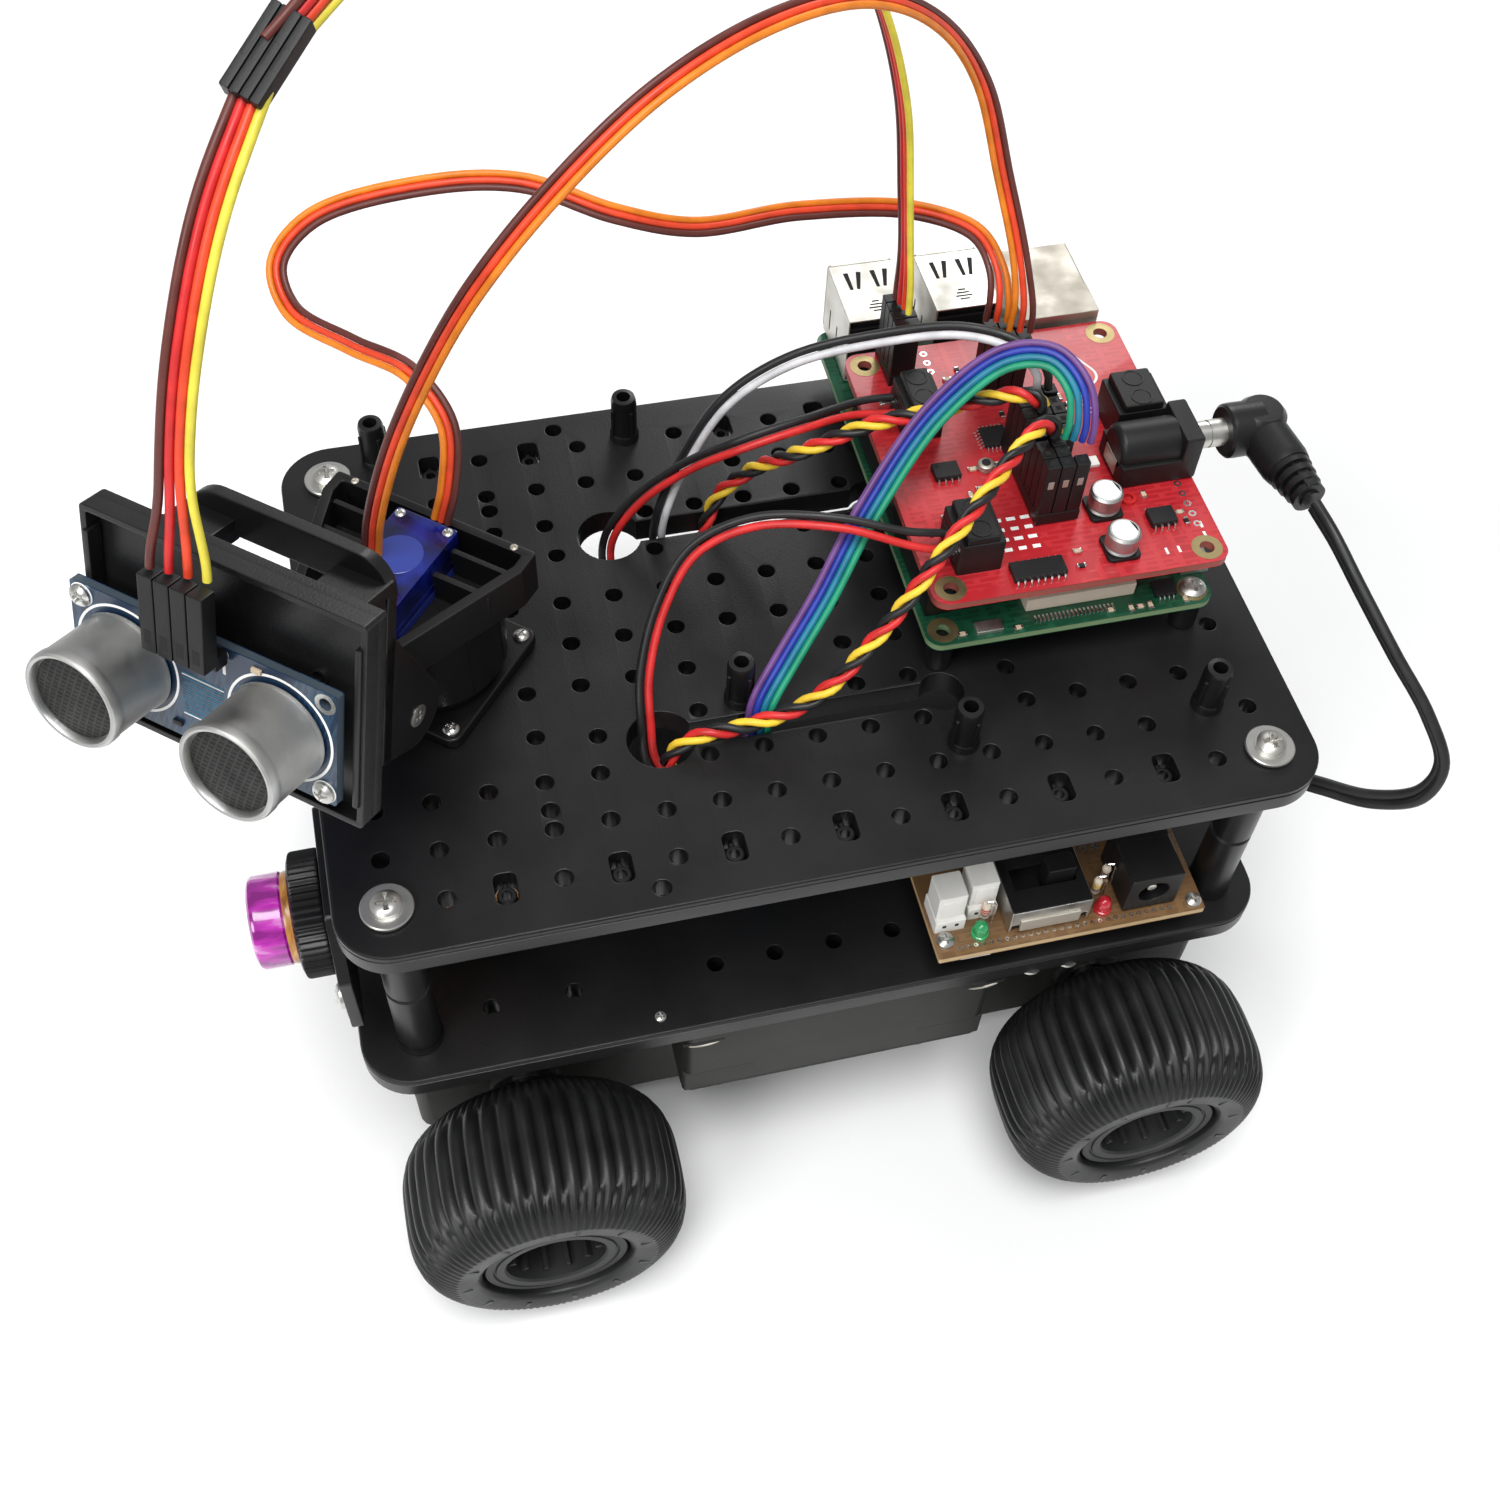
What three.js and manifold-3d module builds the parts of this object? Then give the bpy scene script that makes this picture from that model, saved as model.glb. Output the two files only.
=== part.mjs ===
// Four wheel robot chassis: two perforated deck plates on four posts, a motor and battery tub
// with four geared wheels, a single board computer with an expansion board, a pan and tilt
// distance sensor, a tubular proximity sensor and a power board. Millimetres, +Z up.
// +X is the robot's left side and -Y is its front.
import * as THREE from "three";
import { mergeVertices } from "three/addons/utils/BufferGeometryUtils.js";
import Module from "manifold-3d";

const wasm = await Module();
wasm.setup();

// Driving dimensions
const GAP = 0.3;
const WHEEL_RADIUS = 28;
const PLATE = { halfX: 59.6, halfY: 89.4, thickness: 5.5, corner: 10 };
const TOP_FACE = 113;
const LOWER_FACE = 65.5;
const LOWER_SHIFT_Y = -1;
const LOWER_EXTRA_Y = 1;
const POST = { x: 50, y: 80, radius: 4.4 };
const AXLES = [
  { end: "front", y: -62 },
  { end: "rear", y: 62.5 },
];
const SIDES = [
  { side: "left", sign: 1 },
  { side: "right", sign: -1 },
];
const TYRE = { centreX: 71.4, halfWidth: 18.4, power: 3.2, bore: 14.8, edge: 0.87 };
const HUB = { inner: 57, outer: 85.6, radius: 14.5, recess: 10, web: 71 };
const TUB = { halfX: 46, front: -85, rear: 88, bottom: 14, wall: 2.4 };
const BAY = { halfX: 58.6, front: -31, rear: 33, bottom: 34 };
const HOLE_RADIUS = 1.6;
const PITCH = 10;
const PILLARS = [
  [-53.5, -70],
  [-51, -20],
  [19, -12],
  [37, 25.5],
  [38, 72.5],
];
const PILLAR_HEIGHT = 11;
const BOARD = { x: -11, y: 50.7, computerLeft: -63.5, right: 21.5, width: 56, bottom: 120.5, thick: 1.6 };
const HAT = { halfX: 32.5, halfY: 28.25, bottom: 132.3, thick: 1.6 };
const POWER = { x0: 29.3, x1: 59.3, y0: 19.3, y1: 74.3, bottom: 71.4, thick: 1.6 };
const PROXIMITY = { x: 34.6, z: 91, radius: 8.6 };
const PAN = { x: 0, y: -66, rest: THREE.MathUtils.degToRad(50) };
const TILT = { forward: 27.6, z: 143, rest: THREE.MathUtils.degToRad(16) };
const SERVO = { width: 12.2, short: 6, long: 16.8, lid: 147.5, height: 22.7, ear: 4.5 };
const SONAR = { lateral: 4.8, face: 34, up: 20.4, width: 45, height: 20, spacing: 26, can: 8, reach: 12 };

const COLOURS = {
  black: [0x1b1c1e, 0.5, 0],
  dark: [0x2a2b2d, 0.55, 0],
  rubber: [0x222324, 0.85, 0],
  hub: [0x2e3032, 0.5, 0],
  steel: [0xc8c9c6, 0.3, 1],
  tin: [0xd9d8d0, 0.35, 0.9],
  blue: [0x1d2c9c, 0.25, 0],
  sonar: [0x1d3a66, 0.45, 0],
  can: [0xc9ccca, 0.3, 1],
  red: [0xd8323f, 0.4, 0],
  green: [0x14694a, 0.4, 0],
  brown: [0xa8743c, 0.6, 0],
  cell: [0x3d7fc4, 0.4, 0],
  motor: [0xb9bbb8, 0.35, 1],
  orange: [0xd9962e, 0.4, 0],
  wire: [0xb03a2a, 0.55, 0],
  ribbon: [0x3050b0, 0.5, 0],
  pale: [0x8c8f92, 0.5, 0],
};

const robot = new THREE.Group();

function finish([color, roughness, metalness]) {
  return new THREE.MeshStandardMaterial({ color, roughness, metalness });
}

function add(parent, name, geometry, colour) {
  const mesh = new THREE.Mesh(geometry, finish(COLOURS[colour]));
  mesh.name = name;
  parent.add(mesh);
  return mesh;
}

// Booleans on closed meshes
function toSolid(geometry) {
  const bare = geometry.clone();
  bare.deleteAttribute("normal");
  bare.deleteAttribute("uv");
  const merged = mergeVertices(bare, 1e-4);
  return new wasm.Manifold(
    new wasm.Mesh({
      numProp: 3,
      vertProperties: new Float32Array(merged.attributes.position.array),
      triVerts: new Uint32Array(merged.index.array),
    }),
  );
}

function toGeometry(solid) {
  const mesh = solid.getMesh();
  const geometry = new THREE.BufferGeometry();
  geometry.setAttribute("position", new THREE.BufferAttribute(mesh.vertProperties, 3));
  geometry.setIndex(new THREE.BufferAttribute(mesh.triVerts, 1));
  return geometry;
}

function build(added, removed = []) {
  const [first, ...others] = added;
  let solid = toSolid(first);
  for (const piece of others) {
    solid = solid.add(toSolid(piece));
  }
  for (const piece of removed) {
    solid = solid.subtract(toSolid(piece));
  }
  return toGeometry(solid);
}

// Basic shapes, given by their limits
function block(x0, x1, y0, y1, z0, z1) {
  const geometry = new THREE.BoxGeometry(x1 - x0, y1 - y0, z1 - z0);
  return geometry.translate((x0 + x1) / 2, (y0 + y1) / 2, (z0 + z1) / 2);
}

function upright(radius, x, y, z0, z1, sides = 16) {
  const geometry = new THREE.CylinderGeometry(radius, radius, z1 - z0, sides);
  return geometry.rotateX(Math.PI / 2).translate(x, y, (z0 + z1) / 2);
}

function across(radius, y, z, x0, x1, sides = 16) {
  const geometry = new THREE.CylinderGeometry(radius, radius, x1 - x0, sides);
  return geometry.rotateZ(Math.PI / 2).translate((x0 + x1) / 2, y, z);
}

function lengthwise(radius, x, z, y0, y1, sides = 16) {
  return new THREE.CylinderGeometry(radius, radius, y1 - y0, sides).translate(x, (y0 + y1) / 2, z);
}

// A profile of [radius, height] points turned about +Z
function turned(profile, sides) {
  const points = profile.map(([radius, height]) => new THREE.Vector2(radius, height));
  return new THREE.LatheGeometry(points, sides).rotateX(Math.PI / 2);
}

function roundedPoints(halfX, halfY, radius, perCorner = 5) {
  const points = [];
  const corners = [[1, 1], [-1, 1], [-1, -1], [1, -1]];
  corners.forEach(([sx, sy], quarter) => {
    for (let step = 0; step <= perCorner; step += 1) {
      const angle = (Math.PI / 2) * (quarter + step / perCorner);
      const x = sx * (halfX - radius) + radius * Math.cos(angle);
      const y = sy * (halfY - radius) + radius * Math.sin(angle);
      points.push(new THREE.Vector2(x, y));
    }
  });
  return points;
}

function ringPoints(x, y, radius, sides) {
  const points = [];
  for (let step = 0; step < sides; step += 1) {
    const angle = (2 * Math.PI * (step + 0.5)) / sides;
    points.push(new THREE.Vector2(x + radius * Math.cos(angle), y + radius * Math.sin(angle)));
  }
  return points;
}

function slotPoints(x, y, halfLength, radius) {
  const points = [];
  for (const [centre, start] of [[x + halfLength - radius, -90], [x - halfLength + radius, 90]]) {
    for (let step = 0; step <= 4; step += 1) {
      const angle = THREE.MathUtils.degToRad(start + 45 * step);
      points.push(new THREE.Vector2(centre + radius * Math.cos(angle), y + radius * Math.sin(angle)));
    }
  }
  return points;
}

// A round hole at each end of a long narrow slot that runs along Y
function keyholePoints(x, front, frontRadius, rear, rearRadius, halfWidth) {
  const points = [];
  const frontGap = Math.asin(halfWidth / frontRadius);
  const rearGap = Math.asin(halfWidth / rearRadius);
  const steps = 10;
  for (let step = 0; step <= steps; step += 1) {
    const angle = Math.PI / 2 + frontGap + ((2 * Math.PI - 2 * frontGap) * step) / steps;
    points.push(new THREE.Vector2(x + frontRadius * Math.cos(angle), front + frontRadius * Math.sin(angle)));
  }
  for (let step = 0; step <= steps; step += 1) {
    const angle = -Math.PI / 2 + rearGap + ((2 * Math.PI - 2 * rearGap) * step) / steps;
    points.push(new THREE.Vector2(x + rearRadius * Math.cos(angle), rear + rearRadius * Math.sin(angle)));
  }
  return points;
}

function sheet(outline, holes, bottom, thickness) {
  const shape = new THREE.Shape(outline);
  shape.holes = holes.map((points) => new THREE.Path(points));
  const geometry = new THREE.ExtrudeGeometry(shape, { depth: thickness, bevelEnabled: false });
  return geometry.translate(0, 0, bottom);
}

function run(from, to, step) {
  const values = [];
  for (let value = from; value <= to; value += step) {
    values.push(value);
  }
  return values;
}

// Deck plates

// The hole columns of one half; the plate is the same on both sides of its centre line
function deckHoles() {
  const columns = [
    [50, run(-70, 70, 20)],
    [40, run(-80, 80, PITCH)],
    [30, [...run(-80, -40, PITCH), ...run(-20, 70, PITCH)]],
    [20, [-50, -20, -10, 10, 20, 80]],
    [22, [-39, 38.5]],
    [36, [-50]],
    [55.5, [-34]],
    [10, run(-50, 80, PITCH)],
    [0, run(-50, 80, PITCH)],
  ];
  const holes = [];
  for (const [x, ys] of columns) {
    for (const y of ys) {
      holes.push([x, y]);
      if (x > 0) {
        holes.push([-x, y]);
      }
    }
  }
  return holes;
}

function clearOfPillars([x, y]) {
  return PILLARS.every(([px, py]) => Math.hypot(x - px, y - py) > 5);
}

function addTopPlate() {
  const holes = deckHoles().filter(clearOfPillars);
  const openings = holes.map(([x, y]) => ringPoints(x, y, HOLE_RADIUS, 6));
  for (const { sign } of SIDES) {
    for (const y of run(-60, 60, 20)) {
      if (clearOfPillars([sign * POST.x, y])) {
        openings.push(slotPoints(sign * POST.x, y, 3, 1.9));
      }
    }
    openings.push(keyholePoints(sign * 25, -28, 6.2, 25, 4.2, 2.5));
    for (const y of [-POST.y, POST.y]) {
      openings.push(ringPoints(sign * POST.x, y, 2, 8));
    }
  }
  const outline = roundedPoints(PLATE.halfX, PLATE.halfY, PLATE.corner);
  const bottom = TOP_FACE - PLATE.thickness;
  const plate = sheet(outline, openings, bottom, PLATE.thickness);
  const pillars = PILLARS.map(([x, y]) => upright(3, x, y, TOP_FACE - 1, TOP_FACE + PILLAR_HEIGHT, 10));
  const threads = PILLARS.map(([x, y]) => upright(1.3, x, y, TOP_FACE + 5, TOP_FACE + 20, 8));
  add(robot, "top_plate", build([plate, ...pillars], threads), "dark");
}

const CABLE_SLOTS = [
  [25, -14],
  [-25, -14],
];

function addLowerPlate() {
  const openings = [];
  for (const { sign } of SIDES) {
    for (const y of [-66, -50, -22, -10, 2, 14, 40, 62]) {
      openings.push(ringPoints(sign * 47, y, HOLE_RADIUS, 6));
    }
    for (const y of [-70, -44, 34, 50, 70]) {
      openings.push(ringPoints(sign * 20, y, HOLE_RADIUS, 6));
    }
  }
  const bottom = LOWER_FACE - PLATE.thickness;
  const slots = CABLE_SLOTS.map(([x, y]) => block(x - 5, x + 5, y - 14, y + 14, bottom - 1, LOWER_FACE + 1));
  const shift = new THREE.Vector2(0, LOWER_SHIFT_Y);
  const outline = roundedPoints(PLATE.halfX, PLATE.halfY + LOWER_EXTRA_Y, PLATE.corner);
  outline.forEach((point) => point.add(shift));
  const plate = sheet(outline, openings, bottom, PLATE.thickness);
  add(robot, "lower_plate", build([plate], slots), "dark");
}

// A moulded post in two halves, with the screw and washer that hold the top plate on it
function addPosts() {
  const foot = LOWER_FACE + GAP;
  const head = TOP_FACE - PLATE.thickness - GAP;
  const seam = (foot + head) / 2;
  const washer = TOP_FACE + GAP;
  const profile = [
    [0, foot], [POST.radius, foot], [4.1, seam - 0.4], [3.6, seam], [4.1, seam + 0.4], [3.8, head],
    [1.5, head], [1.5, washer], [4.6, washer], [4.6, washer + 0.9], [2.9, washer + 0.9],
    [2.5, washer + 2.9], [0, washer + 2.9],
  ];
  for (const { side, sign } of SIDES) {
    for (const [end, y] of [["front", -POST.y], ["rear", POST.y]]) {
      const post = add(robot, `post_${end}_${side}`, turned(profile, 10), "black");
      post.position.set(sign * POST.x, y, 0);
    }
  }
}

// Tub, battery and drive

function addTub() {
  const top = LOWER_FACE - PLATE.thickness - GAP;
  const outer = [
    block(-TUB.halfX, TUB.halfX, TUB.front, TUB.rear, TUB.bottom, top),
    block(-BAY.halfX, BAY.halfX, BAY.front, BAY.rear, BAY.bottom, top),
  ];
  const wall = TUB.wall;
  const inner = [
    block(-TUB.halfX + wall, TUB.halfX - wall, TUB.front + wall, TUB.rear - wall, TUB.bottom + wall, top + 5),
    block(-BAY.halfX + wall, BAY.halfX - wall, BAY.front + wall, BAY.rear - wall, BAY.bottom + wall, top + 5),
  ];
  for (const { y } of AXLES) {
    inner.push(across(4.5, y, WHEEL_RADIUS, -TUB.halfX - 2, TUB.halfX + 2, 10));
  }
  add(robot, "lower_tub", build(outer, inner), "dark");
}

function addBattery() {
  const floor = TUB.bottom + TUB.wall + GAP;
  const box = block(-36, 36, -31, 31, floor, floor + 10);
  const inside = block(-34, 34, -29.4, 29.4, floor + 1.8, floor + 20);
  const tray = build([box], [inside]);
  add(robot, "battery_tray", tray, "black");
  const radius = 9.2;
  const spacing = 19.4;
  ["front", "middle", "rear"].forEach((place, index) => {
    const cell = across(radius, (index - 1) * spacing, floor + 2.2 + radius, -32.5, 32.5, 16);
    add(robot, `battery_cell_${place}`, cell, "cell");
  });
}

const MOTOR_FACE = TUB.halfX - TUB.wall - GAP;

// The motor's can and gearbox, with a blind bore in its output boss that the axle turns in
function motorGeometry() {
  const profile = [
    [0, 1.5], [3, 1.5], [3, 4], [9.4, 4], [9.4, 24], [10, 24],
    [10, MOTOR_FACE], [2.8, MOTOR_FACE], [2.8, MOTOR_FACE - 8], [0, MOTOR_FACE - 8],
  ];
  return turned(profile, 12).rotateY(Math.PI / 2);
}

// One turned piece: the axle, the boss behind the web, the rim and the screw in the deep recess
function hubGeometry() {
  const axle = 2.5;
  const profile = [
    [0, MOTOR_FACE - 5], [axle, MOTOR_FACE - 5], [axle, 55.6], [6, 55.6], [6, 66], [12.4, 66],
    [12.4, HUB.inner], [HUB.radius, HUB.inner], [HUB.radius, HUB.outer - 0.6], [HUB.radius - 0.6, HUB.outer],
    [HUB.recess, HUB.outer], [HUB.recess, HUB.web], [3.4, HUB.web], [3.4, HUB.web + 3], [0, HUB.web + 3],
  ];
  return turned(profile, 12).rotateY(Math.PI / 2);
}

// The tread is a rounded barrel, a superellipse in section, cut off flat at both sidewalls
function tyreGeometry() {
  const profile = [[TYRE.bore, -TYRE.edge * TYRE.halfWidth + 1.4]];
  for (const u of [-TYRE.edge, -0.74, -0.55, -0.3, 0, 0.3, 0.55, 0.74, TYRE.edge]) {
    const radius = WHEEL_RADIUS * (1 - Math.abs(u) ** TYRE.power) ** (1 / TYRE.power);
    if (u === -TYRE.edge) {
      profile.push([TYRE.bore + 1.6, u * TYRE.halfWidth]);
    }
    profile.push([radius, u * TYRE.halfWidth]);
    if (u === TYRE.edge) {
      profile.push([TYRE.bore + 1.6, u * TYRE.halfWidth]);
    }
  }
  profile.push([TYRE.bore, TYRE.edge * TYRE.halfWidth - 1.4]);
  profile.push(profile[0]);
  return turned(profile, 16).rotateY(Math.PI / 2).translate(TYRE.centreX, 0, 0);
}

function addDrive() {
  for (const { end, y } of AXLES) {
    for (const { side, sign } of SIDES) {
      const place = new THREE.Group();
      place.position.set(0, y, WHEEL_RADIUS);
      place.rotation.z = sign > 0 ? 0 : Math.PI;
      robot.add(place);
      add(place, `motor_${end}_${side}`, motorGeometry(), "motor");
      add(place, `hub_${end}_${side}`, hubGeometry(), "hub");
      add(place, `tyre_${end}_${side}`, tyreGeometry(), "rubber");
    }
  }
}

// Computer and expansion board

function boardSheet(x, y, halfX, halfY, bottom, thickness, holes) {
  const outline = roundedPoints(halfX, halfY, 3, 3);
  const rings = holes.map(([hx, hy]) => ringPoints(hx - x, hy - y, 1.4, 8));
  return sheet(outline, rings, bottom, thickness).translate(x, y, 0);
}

const BOARD_HOLES = [[18, 26.2], [18, 75.2], [-40, 26.2], [-40, 75.2]];
const BOARD_TOP = BOARD.bottom + BOARD.thick;

function addComputer() {
  const centre = (BOARD.computerLeft + BOARD.right) / 2;
  const halfX = (BOARD.right - BOARD.computerLeft) / 2;
  const board = boardSheet(centre, BOARD.y, halfX, BOARD.width / 2, BOARD.bottom, BOARD.thick, []);
  const legs = BOARD_HOLES.map(([x, y]) => upright(2.6, x, y, TOP_FACE + GAP, BOARD.bottom + 0.5, 10));
  const sunk = BOARD_TOP - 0.5;
  const displaySocket = block(-18.5, -3.5, 68.5, 80, sunk, BOARD_TOP + 6);
  const supplySocket = block(7, 14.6, 74, 79.8, sunk, BOARD_TOP + 2.8);
  const soundSocket = block(-36, -29.4, 66.5, 79, sunk, BOARD_TOP + 5.8);
  const soundMouth = lengthwise(2.7, -32.7, BOARD_TOP + 2.9, 78, 81.4, 12);
  const sockets = [displaySocket, supplySocket, soundSocket, soundMouth];
  add(robot, "computer_board", build([board, ...legs, ...sockets]), "green");
  const base = BOARD_TOP + GAP;
  for (const [place, y] of [["front", 31.7], ["rear", 49.7]]) {
    const ports = [];
    for (const low of [base + 1, base + 8.6]) {
      ports.push(block(-70, -56, y - 6, y + 6, low, low + 1.9));
      ports.push(block(-70, -56, y - 6, y + 6, low + 3.7, low + 5.6));
    }
    const shell = block(-65.6, -48.2, y - 6.7, y + 6.7, base, base + 15.6);
    add(robot, `usb_socket_${place}`, build([shell], ports), "tin");
  }
  const network = build(
    [block(-65.6, -44.6, 60.4, 76.4, base, base + 13.4)],
    [block(-70, -53, 62.6, 74.4, base + 2, base + 10)],
  );
  add(robot, "network_socket", network, "tin");
  add(robot, "stacking_header", block(-36.5, 14.5, 23.7, 28.7, base, HAT.bottom - GAP), "black");
}

const HAT_TOP = HAT.bottom + HAT.thick;
const JACK_X = -4.1;

function addExpansionBoard() {
  const board = boardSheet(BOARD.x, BOARD.y, HAT.halfX, HAT.halfY, HAT.bottom, HAT.thick, BOARD_HOLES);
  const sunk = HAT_TOP - 0.4;
  const terminals = [
    block(-28.6, -18.4, 28, 35.5, sunk, HAT_TOP + 9),
    block(5, 15.4, 28, 36.5, sunk, HAT_TOP + 9),
    block(-20.4, -10.4, 67, 77, sunk, HAT_TOP + 9),
  ];
  const plugs = [
    block(-33, -25.8, 45.8, 54, sunk, HAT_TOP + 14.8),
    block(-43.4, -33.6, 29.2, 34.4, sunk, HAT_TOP + 14.8),
  ];
  add(robot, "expansion_board", build([board, ...terminals, ...plugs]), "red");
  const base = HAT_TOP + GAP;
  add(robot, "signal_plug_block", block(-14, 7, 45.6, 54, base, base + 14.6), "black");
  const jack = build(
    [block(-9.6, 1.4, 63.8, 79.2, base, base + 5), lengthwise(4.6, JACK_X, base + 5.4, 63.8, 79.2, 14)],
    [lengthwise(3.2, JACK_X, base + 5.4, 68.8, 81, 12)],
  );
  const pin = lengthwise(1, JACK_X, base + 5.4, 68, 78.4, 8);
  add(robot, "expansion_power_jack", build([jack, pin]), "black");
}

// Power board between the decks

function addPowerBoard() {
  const { x0, x1, y0, y1, bottom, thick } = POWER;
  const top = bottom + thick;
  const board = block(x0, x1, y0, y1, bottom, top);
  const legs = [[54.1, 22.4], [54.4, 71.6], [32.5, 22.4], [32.5, 71.6]].map(([x, y]) =>
    upright(2.2, x, y, LOWER_FACE + GAP, bottom + 0.5, 8),
  );
  const sockets = [
    block(46.4, 53.6, 19.9, 26.1, top - 0.5, top + 11),
    block(44.8, 52, 27, 33, top - 0.5, top + 11),
  ];
  add(robot, "power_board", build([board, ...legs, ...sockets]), "brown");
  const base = top + GAP;
  const shell = block(42, 56.6, 34, 50.4, base, base + 7.2);
  const track = block(46.8, 51.6, 36, 48.6, base + 3.4, base + 10);
  add(robot, "power_switch_frame", build([shell], [track]), "steel");
  add(robot, "power_switch_slider", block(47.2, 51.2, 42.4, 48.2, base + 3.8, base + 11), "black");
  const casing = block(44, 56.8, 57.5, 68.5, base, base + 10.8);
  const mouth = across(3.1, 63, base + 5.6, 47.5, 60, 12);
  const pin = across(1, 63, base + 5.6, 46, 56, 8);
  add(robot, "charge_jack", build([build([casing], [mouth]), pin]), "black");
}

// Tubular proximity sensor at the front left

function addProximitySensor() {
  const { x, z, radius } = PROXIMITY;
  const profile = [
    [0, 0], [4, 0], [4, 6], [radius, 7], [radius, 45], [radius - 0.6, 45.4], [radius - 0.6, 48.2], [0, 48.2],
  ];
  const barrel = turned(profile, 16).rotateX(Math.PI / 2);
  add(robot, "proximity_barrel", barrel, "orange").position.set(x, -57, z);
  const front = build(
    [lengthwise(11.7, x, z, -97.5, -91.4, 16)],
    [lengthwise(radius + GAP, x, z, -99, -90, 16)],
  );
  add(robot, "proximity_front_nut", front, "black");
  const rear = build([lengthwise(10.4, x, z, -88.5, -84, 6)], [lengthwise(radius + GAP, x, z, -90, -82, 16)]);
  add(robot, "proximity_rear_nut", rear, "black");
  const wall = block(22, 53.4, -91.1, -88.8, 79, TOP_FACE - PLATE.thickness - GAP);
  const flange = block(22.5, 44, -90, -72, 104.9, TOP_FACE - PLATE.thickness - GAP);
  const bracket = build([wall, flange], [lengthwise(radius + GAP, x, z, -95, -85, 16)]);
  add(robot, "proximity_bracket", bracket, "black");
}

// Pan and tilt head. Inside it, x is lateral, -y is forward and z is up, with both joints at zero.

function addPanBase() {
  const plate = block(-14.5, 14.5, -14.5, 14.5, TOP_FACE + GAP, TOP_FACE + 2.6);
  const boss = upright(12.6, 0, 0, TOP_FACE + 1, TOP_FACE + 5, 20);
  const shaft = upright(2.2, 0, 0, TOP_FACE + 4, TOP_FACE + 10.6, 10);
  add(robot, "pan_base", build([plate, boss, shaft]), "black").position.set(PAN.x, PAN.y, 0);
}

function addPanServo(pan) {
  const half = SERVO.width / 2;
  const bottom = SERVO.lid - SERVO.height;
  const body = block(-half, half, -SERVO.long, SERVO.short, bottom, SERVO.lid);
  const earBack = -SERVO.long - SERVO.ear;
  const earFront = SERVO.short + SERVO.ear;
  const ears = block(-half, half, earBack, earFront, bottom + 4.2, bottom + 6.6);
  const collar = upright(5.8, 0, 0, bottom - 3.8, bottom + 1, 14);
  const bore = upright(2.6, 0, 0, bottom - 6, bottom - 0.4, 10);
  add(pan, "pan_servo", build([body, ears, collar], [bore]), "blue");
}

function addPanYoke(pan) {
  const floor = TOP_FACE + 5.4;
  const trayFloor = TOP_FACE + 25;
  const rim = TOP_FACE + 34;
  const drum = upright(14.6, 0, 0, floor, trayFloor + 1, 24);
  const outline = [[20, 8.4], [-20, 8.4], [-20, 3.5], [-10.5, -21.2], [10.5, -21.2], [20, 3.5]];
  const lining = [[18, 6.6], [-18, 6.6], [-18, 3.9], [-9.2, -19.4], [9.2, -19.4], [18, 3.9]];
  const toPoints = (list) => list.map(([x, y]) => new THREE.Vector2(x, y));
  const tray = sheet(toPoints(outline), [], trayFloor, rim - trayFloor);
  const hollow = sheet(toPoints(lining), [], trayFloor + 2, rim);
  const half = SERVO.width / 2 + GAP;
  const bottom = SERVO.lid - SERVO.height;
  const removed = [
    hollow,
    block(-half, half, -SERVO.long - GAP, SERVO.short + GAP, bottom - GAP, rim + 5),
    block(
      -half, half, -SERVO.long - SERVO.ear - GAP, SERVO.short + SERVO.ear + GAP,
      bottom + 3.8, bottom + 7,
    ),
    upright(6.2, 0, 0, floor - 2, bottom + 1, 14),
  ];
  add(pan, "pan_yoke", build([drum, tray], removed), "black");
}

function addTiltServo(pan) {
  const half = 5.9;
  const body = block(-13.6, 9, -TILT.forward - half, -TILT.forward + half, TILT.z - 16.8, TILT.z + 6);
  const ears = block(1.4, 3.8, -TILT.forward - half, -TILT.forward + half, TILT.z - 21.2, TILT.z + 10.4);
  const collar = across(5.8, -TILT.forward, TILT.z, 8, 12.8, 14);
  const bore = across(2.6, -TILT.forward, TILT.z, 8.6, 14, 10);
  add(pan, "tilt_servo", build([body, ears, collar], [bore]), "blue");
}

// The tilting bracket, about the tilt axis: a recessed frame for the sonar, an arch behind it,
// two ledges between them and a side cheek that reaches back to each end of the tilt axis
function addBracket(tilt) {
  const left = -17;
  const right = 19;
  const thick = 2.6;
  const frameLeft = SONAR.lateral - 21.5;
  const frameRight = SONAR.lateral + 25.5;
  const frameLow = SONAR.up - 14.5;
  const frameHigh = SONAR.up + 22;
  const frameFront = SONAR.face - 2;
  const added = [block(frameLeft, frameRight, -frameFront, -frameFront + 5, frameLow, frameHigh)];
  added.push(block(left, right, -9.8, -7.2, 28.4, 34.6));
  for (const x of [left, right - thick]) {
    added.push(block(x, x + thick, -9.8, -7.2, -4, 30));
    added.push(block(x, x + thick, -27.4, -8, 12, 18.6));
    added.push(block(x, x + thick, -9, 0, -6.5, 6.5));
    added.push(across(6.5, 0, 0, x, x + thick, 16));
  }
  for (const x of [left, right - 9]) {
    added.push(block(x, x + 9, -27.4, -8, 29, 31.4));
  }
  added.push(across(2.2, 0, 0, 10, right - 1, 10));
  const rimWidth = 1.8;
  const recess = block(
    frameLeft + rimWidth, frameRight - rimWidth, -frameFront - 1, -frameFront + 2.6,
    frameLow + rimWidth, frameHigh - rimWidth,
  );
  add(tilt, "sonar_bracket", build(added, [recess]), "black");
}

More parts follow.
